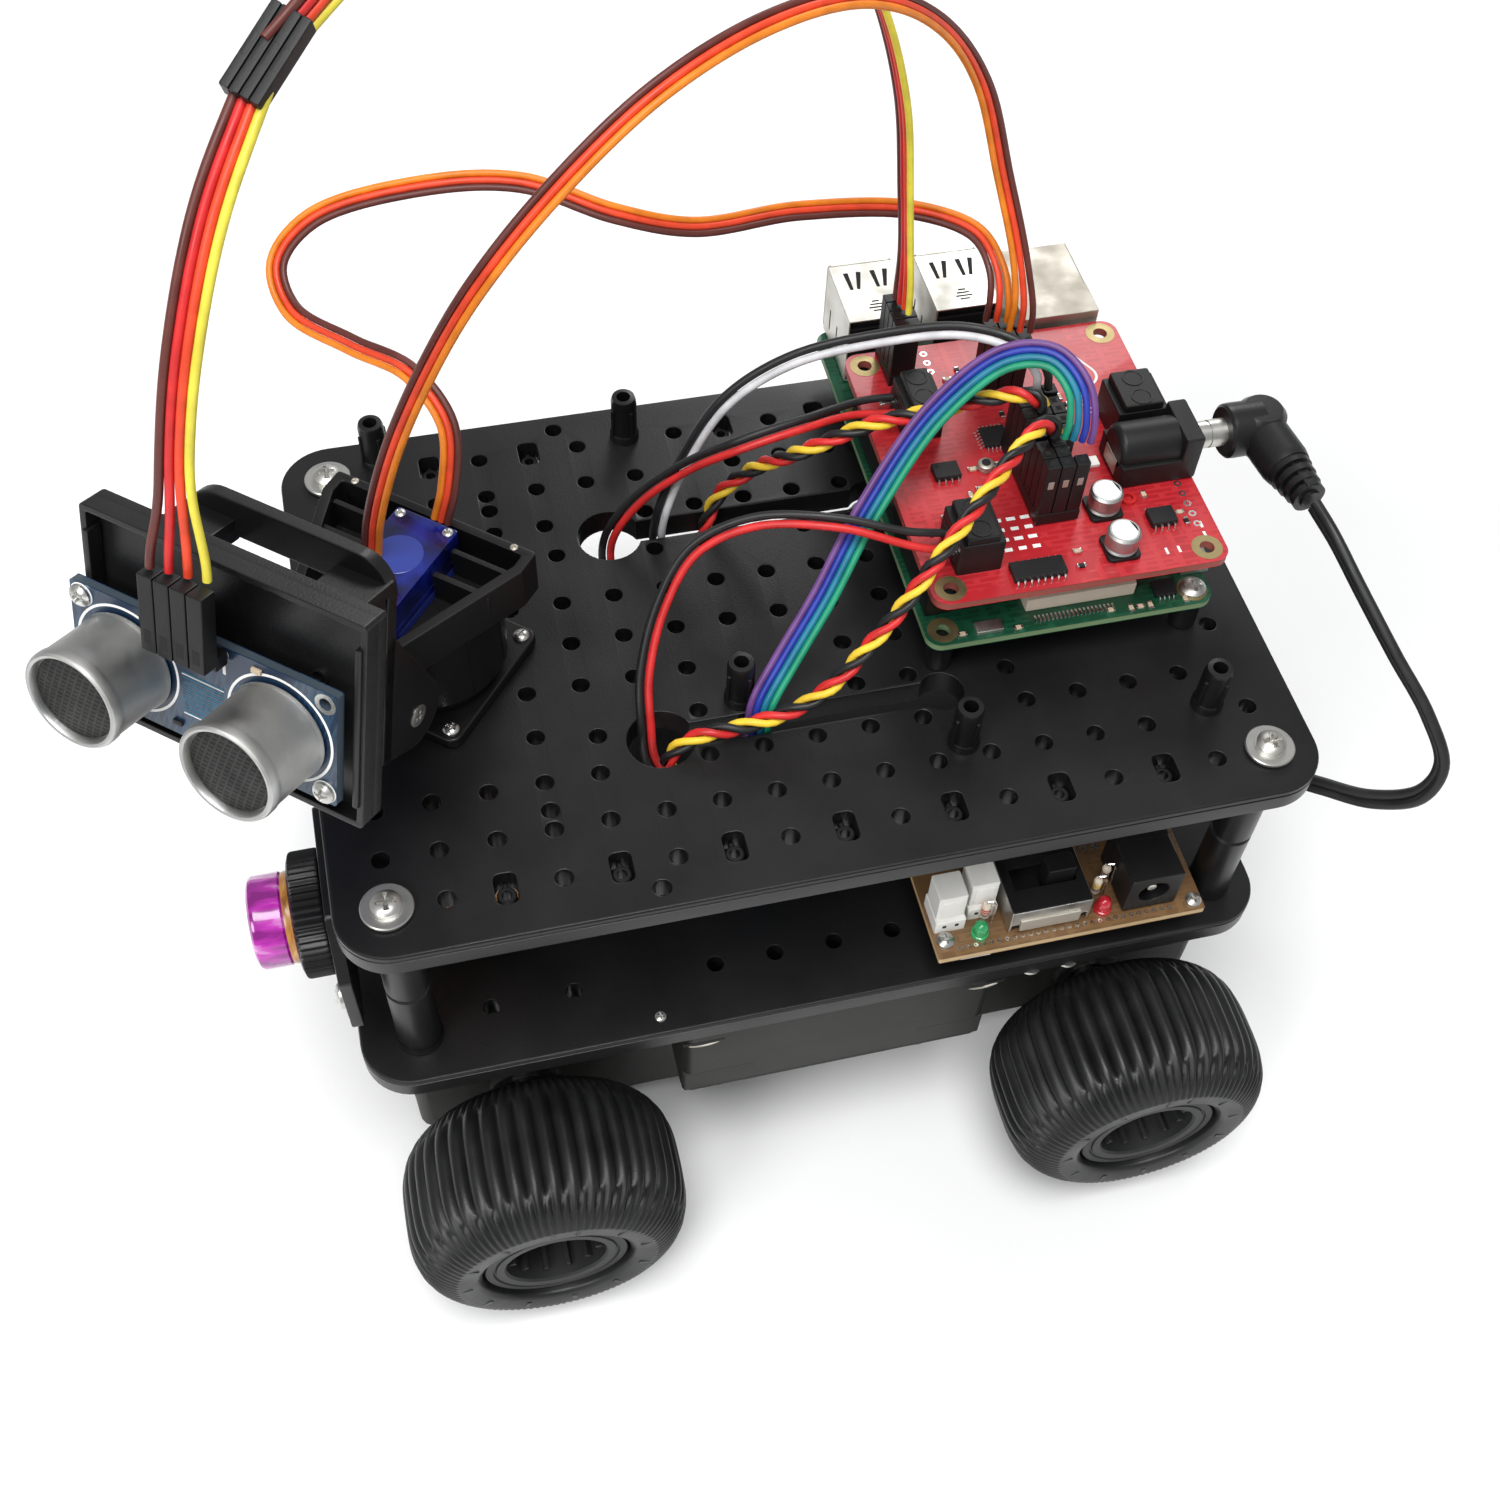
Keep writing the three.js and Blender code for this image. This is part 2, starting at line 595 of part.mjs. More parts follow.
function addSonar(tilt) {
  const { lateral, face, up, width, height, spacing, can, reach } = SONAR;
  const board = block(
    lateral - width / 2, lateral + width / 2, -face, -face + 1.6,
    up - height / 2, up + height / 2,
  );
  add(tilt, "sonar_board", board, "sonar");
  for (const { side, sign } of SIDES) {
    const profile = [
      [0, 0], [can, 0], [can, reach - 0.5], [can - 0.5, reach], [can - 1.3, reach],
      [can - 1.5, reach - 0.8], [0, reach - 0.8],
    ];
    const geometry = turned(profile, 16).rotateX(Math.PI / 2);
    const mesh = add(tilt, `sonar_can_${side}`, geometry, "can");
    mesh.position.set(lateral + (sign * spacing) / 2, -face - GAP, up);
  }
  add(tilt, "sonar_plug", block(-0.5, 10.1, -face - 6, -face - GAP, up + 7.3, up + 22), "black");
}

function addHead() {
  const pan = new THREE.Group();
  pan.position.set(PAN.x, PAN.y, 0);
  pan.rotation.z = PAN.rest;
  robot.add(pan);
  addPanServo(pan);
  addPanYoke(pan);
  addTiltServo(pan);
  const tilt = new THREE.Group();
  tilt.position.set(0, -TILT.forward, TILT.z);
  tilt.rotation.x = -TILT.rest;
  pan.add(tilt);
  addBracket(tilt);
  addSonar(tilt);
}

addTopPlate();
addLowerPlate();
addPosts();
addTub();
addBattery();
addDrive();
addComputer();
addExpansionBoard();
addPowerBoard();
addProximitySensor();
addPanBase();
addHead();

// The origin is below the middle of the robot's own box, on the floor
robot.updateMatrixWorld(true);
const limits = new THREE.Box3().setFromObject(robot, true);
const middle = limits.getCenter(new THREE.Vector3());

// Leads. Each is one smooth tube through hand-set points, from its plug to where it goes in.
const LEADS = [
  {
    name: "sonar_lead_front", radius: 2.2, colour: "wire",
    route: [
      [42.4, -95.8, 194.3], [41, -94.4, 201], [39.2, -92.2, 212], [36, -88, 226], [29, -81.5, 240],
      [17.3, -72.4, 250.8],
    ],
  },
  {
    name: "sonar_lead_rear", radius: 2.2, colour: "wire",
    route: [
      [16.2, -71, 251.5], [3, -55, 258], [-12, -35, 259], [-26, -12, 251], [-36, 8, 235], [-41, 21, 214],
      [-43, 28.5, 192], [-42, 31, 172], [-39.6, 31.8, 158], [-38.6, 31.8, 149.4],
    ],
  },
  {
    name: "pan_servo_lead", radius: 1.6, colour: "wire",
    route: [
      [1.9, -72.4, 148], [2.2, -71, 156], [2.8, -66, 172], [4, -58, 190], [5, -50, 204], [2, -38, 216],
      [-5, -22, 225], [-14, -4, 228], [-24, 14, 224], [-33, 30, 212], [-38, 41, 196], [-37, 47, 178],
      [-31.5, 50.5, 164], [-28, 51.6, 155], [-27.6, 51.6, 149.4],
    ],
  },
  {
    name: "tilt_servo_lead", radius: 1.6, colour: "wire",
    route: [
      [-2.3, -60.2, 148.6], [-4, -58, 155], [-10, -56.5, 163], [-18, -61, 168], [-28, -70, 167],
      [-38.6, -79, 167],
      [-46, -80, 171], [-50.2, -73, 176], [-50.2, -54, 180], [-48, -37, 180], [-42, -22, 176], [-42, -8, 171],
      [-48.9, 13.6, 166], [-50, 36, 162], [-42, 46, 161.5], [-34.4, 48, 158.5], [-31.4, 48.1, 154],
      [-31.2, 48.1, 149.4],
    ],
  },
  {
    name: "motor_lead_left", radius: 1.5, colour: "wire",
    route: [
      [10.2, 27.5, 137.5], [9.4, 21, 138.8], [5.4, 8, 141.6], [0.5, -6, 139.5], [1, -17, 135], [7, -24.3, 128],
      [15.5, -29, 120], [21.5, -30, 113], [23.3, -29.5, 104], [24, -24, 92], [24, -18, 80], [24, -18, 68],
      [24, -22, 57], [23, -36, 48], [20, -50, 42.5], [17, -56, 40],
    ],
  },
  {
    name: "motor_lead_right", radius: 1.5, colour: "wire",
    route: [
      [-25, 27.4, 137.5], [-24.5, 20, 138.5], [-20, 8, 141], [-19, -4, 139], [-24, -13, 130], [-26, -22, 121],
      [-25.5, -28, 112], [-25, -28.5, 103], [-25, -24, 92], [-25, -19, 80], [-25, -19, 68],
      [-25, -23, 57], [-24, -37, 48], [-20, -50, 42.5], [-17, -56, 40],
    ],
  },
  {
    name: "proximity_lead", radius: 1.5, colour: "wire",
    route: [
      [-0.6, 49.4, 149.4], [-0.5, 48.8, 151.8], [1.6, 45.4, 154.6], [6.8, 39, 154.4], [13.8, 30.5, 151],
      [20.4, 21.5, 145], [24.6, 12, 134], [28.4, -1, 122], [28.6, -13, 117.8], [28.2, -21.5, 116.5],
      [28, -26.8, 112], [28, -27.5, 104], [30, -32, 97.5], [33, -42, 92.5], [34.6, -51, 91.2],
      [34.6, -56.4, 91],
    ],
  },
  {
    name: "sense_lead", radius: 1.5, colour: "wire",
    route: [
      [-7.5, 49.2, 149.4], [-7.7, 48.6, 151.2], [-9, 45.2, 152], [-11.4, 39.2, 149.6], [-13.4, 31, 146.4],
      [-15.3, 20, 143.3], [-18, 8, 136], [-24.5, 0, 126], [-26.4, -6, 118], [-25.2, -9, 110],
      [-25, -9.5, 100],
      [-25, -9.5, 84], [-25, -9.5, 68], [-22, -7, 54], [-16, -3, 43], [-12, 0, 39.6],
    ],
  },
  {
    name: "ribbon_lead", radius: 1.8, colour: "ribbon",
    route: [
      [1.6, 52.9, 149.4], [1.2, 53.2, 153], [-2.4, 53, 158], [-8.4, 49.6, 160.6], [-11.4, 42, 159],
      [-8, 29, 151.5],
      [2, 15, 140], [12, 4.5, 129.5], [19, -3.6, 122.5], [23.8, -8.9, 117.5], [25, -10, 112], [25, -10, 102],
      [25, -9, 88], [25, -8, 74], [24, -8, 62],
      [18, -8, 50], [10, -8, 41], [6, -6, 39.8],
    ],
  },
  {
    name: "supply_lead", radius: 1.5, colour: "pale",
    route: [
      [-12, 50.8, 149.4], [-12.7, 50.4, 152.8], [-17, 46.6, 156], [-22.6, 38, 156.2], [-27.4, 24, 152.6],
      [-29.2, 8, 148.5], [-29, -4, 141],
      [-27.8, -12, 129], [-24.8, -17.5, 118], [-24.8, -18.5, 109], [-25, -15.5, 98], [-25, -14.3, 84],
      [-25, -14.3, 68], [-23, -14, 54], [-16, -16, 43], [-12, -18, 39.8],
    ],
  },
  {
    name: "power_cord", radius: 2, colour: "black",
    route: [
      [16.8, 95.2, 139.5], [23.5, 96.5, 138], [33, 99.4, 133], [43.5, 103.4, 126.5], [53, 108, 119.5],
      [59.5, 110.5, 112], [60.5, 108.5, 104.5], [56, 103, 98], [48, 97, 93], [40.5, 91, 88.5], [38, 83, 83.5],
      [37.6, 75, 79.5], [37.8, 68.5, 77.4], [40, 63.8, 77], [43.5, 63, 77],
    ],
  },
];

function tube({ route, radius }) {
  const curve = new THREE.CatmullRomCurve3(route.map((point) => new THREE.Vector3(...point)));
  const steps = Math.max(8, Math.round(curve.getLength() / (radius * 6)));
  const section = new THREE.Shape(ringPoints(0, 0, radius, 8));
  return new THREE.ExtrudeGeometry(section, { steps, extrudePath: curve, bevelEnabled: false });
}

function addLeads() {
  for (const lead of LEADS) {
    add(robot, lead.name, tube(lead), lead.colour);
  }
}

// The right-angled plug in the expansion board's power jack, with its cord leaving sideways
function addPowerPlug() {
  const z = HAT_TOP + GAP + 5.4;
  const turn = 0.12;
  const barrel = lengthwise(2.6, JACK_X, z, 79.7, 86.4, 12);
  const socket = lengthwise(1.3, JACK_X, z, 79, 84.8, 8);
  const nose = lengthwise(5.2, JACK_X, z, 85.6, 93, 14);
  const arm = across(4.6, 0, 0, -0.5, 12.4, 14).rotateZ(turn).translate(JACK_X - 0.3, 92.6, z);
  const relief = across(3.3, 0, 0, 12, 20.4, 12).rotateZ(turn).translate(JACK_X - 0.3, 92.6, z);
  const elbow = upright(4.9, JACK_X, 92.8, z - 4.8, z + 4.8, 14);
  add(robot, "power_plug", build([barrel, nose, elbow, arm, relief], [socket]), "black");
}

addLeads();
addPowerPlug();
robot.position.set(-middle.x, -middle.y, -limits.min.z);

export default robot;
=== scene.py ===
"""Looks of the four wheel robot chassis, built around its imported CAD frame. Lengths named here are
in millimetres in the part's own frame unless a comment says metres; +X is the robot's left, -Y its front."""

import math
import random

import bmesh
import bpy
from mathutils import Matrix, Vector
from mathutils.geometry import tessellate_polygon


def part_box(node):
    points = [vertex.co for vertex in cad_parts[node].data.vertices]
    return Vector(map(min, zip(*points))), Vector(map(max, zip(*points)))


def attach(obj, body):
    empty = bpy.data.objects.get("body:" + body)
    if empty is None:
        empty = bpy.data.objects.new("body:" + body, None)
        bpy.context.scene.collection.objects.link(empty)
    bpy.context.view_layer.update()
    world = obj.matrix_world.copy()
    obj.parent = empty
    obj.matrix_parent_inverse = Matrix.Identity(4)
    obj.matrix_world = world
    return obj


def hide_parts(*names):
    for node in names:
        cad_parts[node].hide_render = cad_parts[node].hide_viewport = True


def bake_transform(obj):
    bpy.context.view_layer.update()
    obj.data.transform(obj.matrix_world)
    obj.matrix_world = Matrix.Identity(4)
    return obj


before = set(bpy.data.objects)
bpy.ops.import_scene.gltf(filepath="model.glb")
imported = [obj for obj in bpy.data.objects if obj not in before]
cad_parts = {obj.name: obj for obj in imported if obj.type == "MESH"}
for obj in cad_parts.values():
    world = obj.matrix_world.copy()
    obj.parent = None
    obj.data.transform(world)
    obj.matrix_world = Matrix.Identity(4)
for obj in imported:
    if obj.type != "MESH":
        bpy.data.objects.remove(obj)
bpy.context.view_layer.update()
MM = 0.001

# The part frame: the deck's middle is x 0, y 0 there
DECK_LOW, DECK_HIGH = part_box("top_plate")
SHIFT = (DECK_LOW.y + DECK_HIGH.y) / 2
PART = Matrix.Translation((0, SHIFT, 0)) @ Matrix.Scale(MM, 4)

# Driving dimensions
DECK_TOP = 113
DECK_BOTTOM = 107.5
LOWER_TOP = 65.5
LOWER_BOTTOM = 60
DECK_X = 59.6
DECK_Y = 89.4
POST_X = 50
POST_Y = 80
AXLES = {"front": -62, "rear": 62.5}
SIDES = {"left": 1, "right": -1}
WHEEL_RADIUS = 28
TYRE_MIDDLE = 71.4
TYRE_HALF = 18.4
RIBS = 46
PILLARS = [(-53.5, -70), (-51, -20), (19, -12), (37, 25.5), (38, 72.5)]
BOARD_TOP = 122.1
HAT_TOP = 133.9
POWER_TOP = 73
PAN_REST = math.radians(50)
TILT_REST = math.radians(16)
TILT_FORWARD = 27.6
TILT_HEIGHT = 143

PAN = PART @ Matrix.Translation((0, -66, 0)) @ Matrix.Rotation(PAN_REST, 4, "Z")
TILT = PAN @ Matrix.Translation((0, -TILT_FORWARD, TILT_HEIGHT)) @ Matrix.Rotation(-TILT_REST, 4, "X")


# Camera and light

CAMERA_PLACE = (0.20885, -0.04849, 0.37703)
CAMERA_AIM = (0.00822, 0.01073, 0.08)
CAMERA_ROLL = math.radians(3.71)
LENS = 42.97
CAMERA_SHIFT = (-0.0062, -0.0016)


def add_camera():
    data = bpy.data.cameras.new("camera")
    data.lens = LENS
    data.sensor_width = 36
    data.shift_x, data.shift_y = CAMERA_SHIFT
    camera = bpy.data.objects.new("camera", data)
    bpy.context.scene.collection.objects.link(camera)
    look = Vector(CAMERA_AIM) - Vector(CAMERA_PLACE)
    level = look.to_track_quat("-Z", "Y").to_matrix().to_4x4()
    camera.matrix_world = Matrix.Translation(CAMERA_PLACE) @ level @ Matrix.Rotation(CAMERA_ROLL, 4, "Z")
    bpy.context.scene.camera = camera


def add_light(name, place, aim, size, power):
    data = bpy.data.lights.new(name, "AREA")
    data.shape = "DISK"
    data.size = size
    data.energy = power
    light = bpy.data.objects.new(name, data)
    bpy.context.scene.collection.objects.link(light)
    light.location = place
    light.rotation_euler = (Vector(aim) - Vector(place)).to_track_quat("-Z", "Y").to_euler()


# Materials. Every number that is the same all over a surface is set on the shader itself.

def material(name, colour, rough=0.5, metal=0.0, coat=0.0, **more):
    made = bpy.data.materials.new(name)
    made.use_nodes = True
    shader = made.node_tree.nodes["Principled BSDF"]
    shader.inputs["Base Color"].default_value = (*colour, 1)
    shader.inputs["Roughness"].default_value = rough
    shader.inputs["Metallic"].default_value = metal
    shader.inputs["Coat Weight"].default_value = coat
    for socket, value in more.items():
        shader.inputs[socket.replace("_", " ").title().replace("Ior", "IOR")].default_value = value
    made.diffuse_color = (*colour, 1)
    return made


class Nodes:
    """Short calls for building one material's node tree."""

    def __init__(self, made):
        self.tree = made.node_tree
        self.shader = self.tree.nodes["Principled BSDF"]
        self.place = self.tree.nodes.new("ShaderNodeTexCoord").outputs["Object"]

    def node(self, kind, inputs=None, **settings):
        made = self.tree.nodes.new(kind)
        for key, value in settings.items():
            setattr(made, key, value)
        for key, value in (inputs or {}).items():
            if isinstance(value, bpy.types.NodeSocket):
                self.tree.links.new(value, made.inputs[key])
            else:
                made.inputs[key].default_value = value
        return made

    def stretched(self, scale):
        return self.node("ShaderNodeMapping", {"Vector": self.place, "Scale": scale}).outputs["Vector"]

    def noise(self, scale, detail=3.0, vector=None):
        inputs = {"Vector": vector or self.place, "Scale": scale, "Detail": detail}
        return self.node("ShaderNodeTexNoise", inputs).outputs["Fac"]

    def ramp(self, fac, stops):
        made = self.node("ShaderNodeValToRGB", {"Fac": fac})
        elements = made.color_ramp.elements
        while len(elements) < len(stops):
            elements.new(0.5)
        for element, (position, colour) in zip(elements, stops):
            element.position = position
            element.color = (*colour, 1) if len(colour) == 3 else colour
        return made.outputs["Color"]

    def remap(self, value, low, high, new_low, new_high):
        inputs = {"Value": value, "From Min": low, "From Max": high, "To Min": new_low, "To Max": new_high}
        return self.node("ShaderNodeMapRange", inputs).outputs["Result"]

    def mix(self, fac, first, second, blend="MIX"):
        made = self.node("ShaderNodeMix", data_type="RGBA", blend_type=blend)
        for index, value in ((0, fac), (6, first), (7, second)):
            if isinstance(value, bpy.types.NodeSocket):
                self.tree.links.new(value, made.inputs[index])
            else:
                made.inputs[index].default_value = value if index == 0 else (*value, 1)
        return made.outputs[2]

    def maths(self, operation, first, second=0.0):
        return self.node("ShaderNodeMath", {0: first, 1: second}, operation=operation).outputs[0]

    def edges(self):
        """How far a point lies on a sharp outer edge, where a painted highlight makes it paler."""
        pointed = self.node("ShaderNodeNewGeometry").outputs["Pointiness"]
        return self.remap(pointed, 0.52, 0.6, 0, 1)

    def colour(self, socket):
        self.tree.links.new(socket, self.shader.inputs["Base Color"])

    def rough(self, socket):
        self.tree.links.new(socket, self.shader.inputs["Roughness"])

    def bump(self, height, strength, distance=0.0002):
        inputs = {"Height": height, "Strength": strength, "Distance": distance}
        made = self.node("ShaderNodeBump", inputs)
        self.tree.links.new(made.outputs["Normal"], self.shader.inputs["Normal"])


def plastic(name, colour, rough=0.45, grain=2600, depth=0.12, edge_highlight=0.35, cloud=45, **more):
    """Moulded plastic: fine spark grain, faint cloudy sheen, a little dust, and a painted highlight that
    makes outer edges paler.
    """
    made = material(name, colour, rough, **more)
    n = Nodes(made)
    clouds = n.noise(cloud, 4.0)
    dark = [c * 0.82 for c in colour]
    pale = [min(1, c * 1.2 + 0.001) for c in colour]
    base = n.ramp(clouds, [(0.3, dark), (0.7, pale)])
    # painted highlight: sharp outer edges are mixed towards this paler colour, which the dust specks also
    # use
    highlight_and_dust = [min(1, c * 1.6 + 0.012) for c in colour]
    base = n.mix(n.maths("MULTIPLY", n.edges(), edge_highlight), base, highlight_and_dust)
    specks = n.node("ShaderNodeTexVoronoi", {"Vector": n.place, "Scale": 330.0}).outputs["Distance"]
    dust = n.remap(specks, 0.05, 0.09, 0.3, 0)
    n.colour(n.mix(n.maths("MULTIPLY", dust, n.noise(90)), base, highlight_and_dust))
    n.rough(n.remap(clouds, 0.25, 0.75, rough - 0.06, rough + 0.08))
    n.bump(n.noise(grain, 2.0), depth)
    return made


def metal(name, colour, rough=0.3, stretch=(1, 1, 1), depth=0.1, tarnish=(0.62, 0.6, 0.56), **more):
    """Plated or drawn metal: fine lines along one way, cloudy tarnish and uneven gloss."""
    made = material(name, colour, rough, 1.0, **more)
    n = Nodes(made)
    clouds = n.noise(140, 5.0)
    dull = [c * t * 1.25 for c, t in zip(colour, tarnish)]
    n.colour(n.ramp(clouds, [(0.35, colour), (0.8, dull)]))
    n.rough(n.remap(clouds, 0.3, 0.8, rough * 0.75, rough * 1.5))
    n.bump(n.noise(2400, 3.0, n.stretched(stretch)), depth)
    return made


def circuit(name, colour, trace, pitch=260.0):
    """Solder mask over copper: thin paler traces in straight runs, with bare patches between."""
    made = material(name, colour, 0.36, coat=0.25)
    n = Nodes(made)
    lines = None
    for turn in (0, math.pi / 2):
        inputs = {"Vector": n.place, "Rotation": (0, 0, turn), "Scale": (pitch, pitch * 0.31, pitch)}
        laid = n.node("ShaderNodeMapping", inputs).outputs["Vector"]
        inputs = {"Vector": laid, "Scale": 1.0, "Mortar Size": 0.055, "Mortar Smooth": 0.2,
                  "Row Height": 0.31}
        brick = n.node("ShaderNodeTexBrick", inputs).outputs["Fac"]
        where = n.remap(n.noise(70 + 25 * turn, 1.0), 0.48, 0.53, 0, 1)
        part = n.maths("MULTIPLY", brick, where)
        lines = part if lines is None else n.maths("MAXIMUM", lines, part)
    clouds = n.noise(60, 3.0)
    base = n.ramp(clouds, [(0.3, [c * 0.86 for c in colour]), (0.75, [min(1, c * 1.08) for c in colour])])
    n.colour(n.mix(lines, base, trace))
    n.rough(n.remap(clouds, 0.3, 0.7, 0.3, 0.42))
    n.bump(lines, 0.25, 0.00008)
    return made


def sheath(name, colour, rough=0.42):
    """Soft insulation on a wire."""
    made = material(name, colour, rough, specular_ior_level=0.4)
    n = Nodes(made)
    clouds = n.noise(240, 3.0)
    n.colour(n.ramp(clouds, [(0.3, [c * 0.8 for c in colour]), (0.7, [min(1, c * 1.12) for c in colour])]))
    n.rough(n.remap(clouds, 0.3, 0.7, rough - 0.08, rough + 0.1))
    n.bump(n.noise(1500, 2.0), 0.06)
    return made


def gauze(name, colour, thread):
    """A fine woven metal screen, black between its threads."""
    made = material(name, colour, 0.6, 0.3)
    n = Nodes(made)
    weave = None
    for axis in ("X", "Z"):
        inputs = {"Vector": n.stretched((1, 1, 1)), "Scale": 420.0, "Distortion": 0.0}
        bands = n.node("ShaderNodeTexWave", inputs, bands_direction=axis).outputs["Fac"]
        weave = bands if weave is None else n.maths("MAXIMUM", weave, bands)
    n.colour(n.mix(n.remap(weave, 0.75, 1, 0, 0.55), colour, thread))
    n.rough(n.remap(n.noise(300), 0.3, 0.7, 0.5, 0.75))
    n.bump(weave, 0.5, 0.0001)
    return made


def rubber_tread():
    made = material("tyre_rubber", (0.0065, 0.0066, 0.0068), 0.42, specular_ior_level=0.38)
    n = Nodes(made)
    clouds = n.noise(110, 4.0)
    base = n.ramp(clouds, [(0.3, (0.0045, 0.0046, 0.0048)), (0.75, (0.0095, 0.0097, 0.01))])
    # painted highlight: the sharp rib crests are mixed towards a paler grey
    n.colour(n.mix(n.maths("MULTIPLY", n.edges(), 0.25), base, (0.03, 0.031, 0.031)))
    n.rough(n.remap(clouds, 0.3, 0.7, 0.34, 0.5))
    n.bump(n.noise(1900, 4.0), 0.16)
    return made


def clear_blue():
    """A tinted see-through servo case, with the dark works inside showing as cloudy patches."""
    made = material("servo_case", (0.006, 0.012, 0.2), 0.16, coat=0.5, transmission_weight=0.18)
    n = Nodes(made)
    works = n.noise(150, 2.0)
    n.colour(n.ramp(works, [(0.35, (0.002, 0.004, 0.05)), (0.55, (0.005, 0.012, 0.18)),
                            (0.75, (0.01, 0.03, 0.36))]))
    n.rough(n.remap(n.noise(400), 0.3, 0.7, 0.12, 0.26))
    n.bump(n.noise(900, 2.0), 0.05)
    return made


def tinted_lens():
    """Glossy magenta plastic with paler streaks along the sensor's axis."""
    made = material("sensor_lens", (0.62, 0.02, 0.5), 0.12, coat=0.6, transmission_weight=0.25)
    n = Nodes(made)
    streaks = n.noise(420, 3.0, n.stretched((1, 0.25, 1)))
    n.colour(n.ramp(streaks, [(0.38, (0.3, 0.005, 0.26)), (0.55, (0.66, 0.03, 0.56)),
                              (0.7, (0.9, 0.5, 0.82))]))
    n.rough(n.remap(streaks, 0.3, 0.7, 0.08, 0.3))
    n.bump(n.noise(700, 2.0), 0.08)
    return made


def amber():
    """Orange-gold sensor barrel, slightly see-through."""
    made = material("sensor_barrel", (0.55, 0.22, 0.03), 0.3, coat=0.3, transmission_weight=0.12)
    n = Nodes(made)
    streaks = n.noise(260, 4.0, n.stretched((1, 3, 1)))
    n.colour(n.ramp(streaks, [(0.3, (0.26, 0.09, 0.012)), (0.6, (0.6, 0.27, 0.05)),
                              (0.8, (0.8, 0.5, 0.2))]))
    n.rough(n.remap(streaks, 0.3, 0.7, 0.22, 0.42))
    n.bump(n.noise(900, 2.0), 0.12)
    return made


def lamp(name, colour):
    """A clear moulded lamp."""
    made = material(name, colour, 0.2, coat=0.5, transmission_weight=0.3)
    n = Nodes(made)
    n.colour(n.ramp(n.noise(500), [(0.3, [c * 0.7 for c in colour]), (0.7, colour)]))
    n.rough(n.remap(n.noise(700), 0.3, 0.7, 0.12, 0.3))
    return made


def edge_of(name, colour):
    """The bare side of a circuit board."""
    return plastic(name, colour, 0.6, grain=1200, depth=0.25)


DECK = plastic("deck_plastic", (0.0062, 0.0062, 0.0068), 0.36, edge_highlight=0.12, specular_ior_level=0.34)
TUB = plastic("tub_plastic", (0.0165, 0.0168, 0.0142), 0.55, grain=1800, depth=0.2, edge_highlight=0.15,
              specular_ior_level=0.3)
BLACK = plastic("black_plastic", (0.0052, 0.0052, 0.0056), 0.34, edge_highlight=0.15, specular_ior_level=0.36)
HOUSING = plastic("connector_plastic", (0.0045, 0.0045, 0.0048), 0.42, grain=3200, edge_highlight=0.18,
                  specular_ior_level=0.32)
CHIP = plastic("chip_body", (0.009, 0.009, 0.01), 0.5, grain=4200, depth=0.1, edge_highlight=0.1,
               specular_ior_level=0.3)
DARK = plastic("shadow_plastic", (0.004, 0.004, 0.004), 0.8, edge_highlight=0)
HUB = plastic("hub_plastic", (0.017, 0.0175, 0.0172), 0.5, edge_highlight=0.2, specular_ior_level=0.3)
TYRE = rubber_tread()
STEEL = metal("screw_steel", (0.62, 0.62, 0.6), 0.34)
TIN = metal("tinned_shell", (0.62, 0.61, 0.57), 0.42, (1, 6, 1), 0.06, (0.74, 0.73, 0.7))
NICKEL = metal("dull_nickel", (0.5, 0.47, 0.41), 0.52, (1, 6, 1), 0.08, (0.74, 0.73, 0.7))
CAN = metal("turned_aluminium", (0.5, 0.505, 0.5), 0.42, (1, 14, 1), 0.18)
GOLD = metal("gold_pad", (0.4, 0.32, 0.16), 0.45)
SOLDER = metal("solder", (0.75, 0.75, 0.74), 0.25)
MOTOR = metal("motor_can", (0.6, 0.6, 0.58), 0.32, (8, 1, 1))
RED_BOARD = circuit("red_board", (0.4, 0.0125, 0.019), (0.45, 0.022, 0.028))
GREEN_BOARD = circuit("green_board", (0.004, 0.052, 0.024), (0.008, 0.078, 0.038))
BLUE_BOARD = circuit("blue_board", (0.006, 0.021, 0.052), (0.014, 0.045, 0.09), 420.0)
BROWN_BOARD = circuit("brown_board", (0.155, 0.082, 0.033), (0.185, 0.102, 0.043))
BOARD_EDGE = plastic("board_edge", (0.42, 0.3, 0.16), 0.7, grain=900, depth=0.3)
SILK = plastic("silk_print", (0.8, 0.8, 0.78), 0.6, edge_highlight=0)
WHITE = plastic("white_nylon", (0.72, 0.71, 0.66), 0.45)
CREAM = plastic("cream_connector", (0.55, 0.47, 0.38), 0.5)
TAN = plastic("ceramic_part", (0.45, 0.36, 0.25), 0.5)
LID = plastic("capacitor_lid", (0.74, 0.74, 0.72), 0.35, edge_highlight=0.1)
CELL = plastic("battery_wrap", (0.05, 0.16, 0.45), 0.3)
SERVO = clear_blue()
LABEL = plastic("servo_label", (0.02, 0.04, 0.26), 0.3, coat=0.4)
GAUZE = gauze("sonar_gauze", (0.004, 0.004, 0.004), (0.05, 0.046, 0.042))
LENS_CAP = tinted_lens()
AMBER = amber()
GREEN_LED = lamp("green_led", (0.03, 0.5, 0.16))
RED_LED = lamp("red_led", (0.7, 0.02, 0.04))

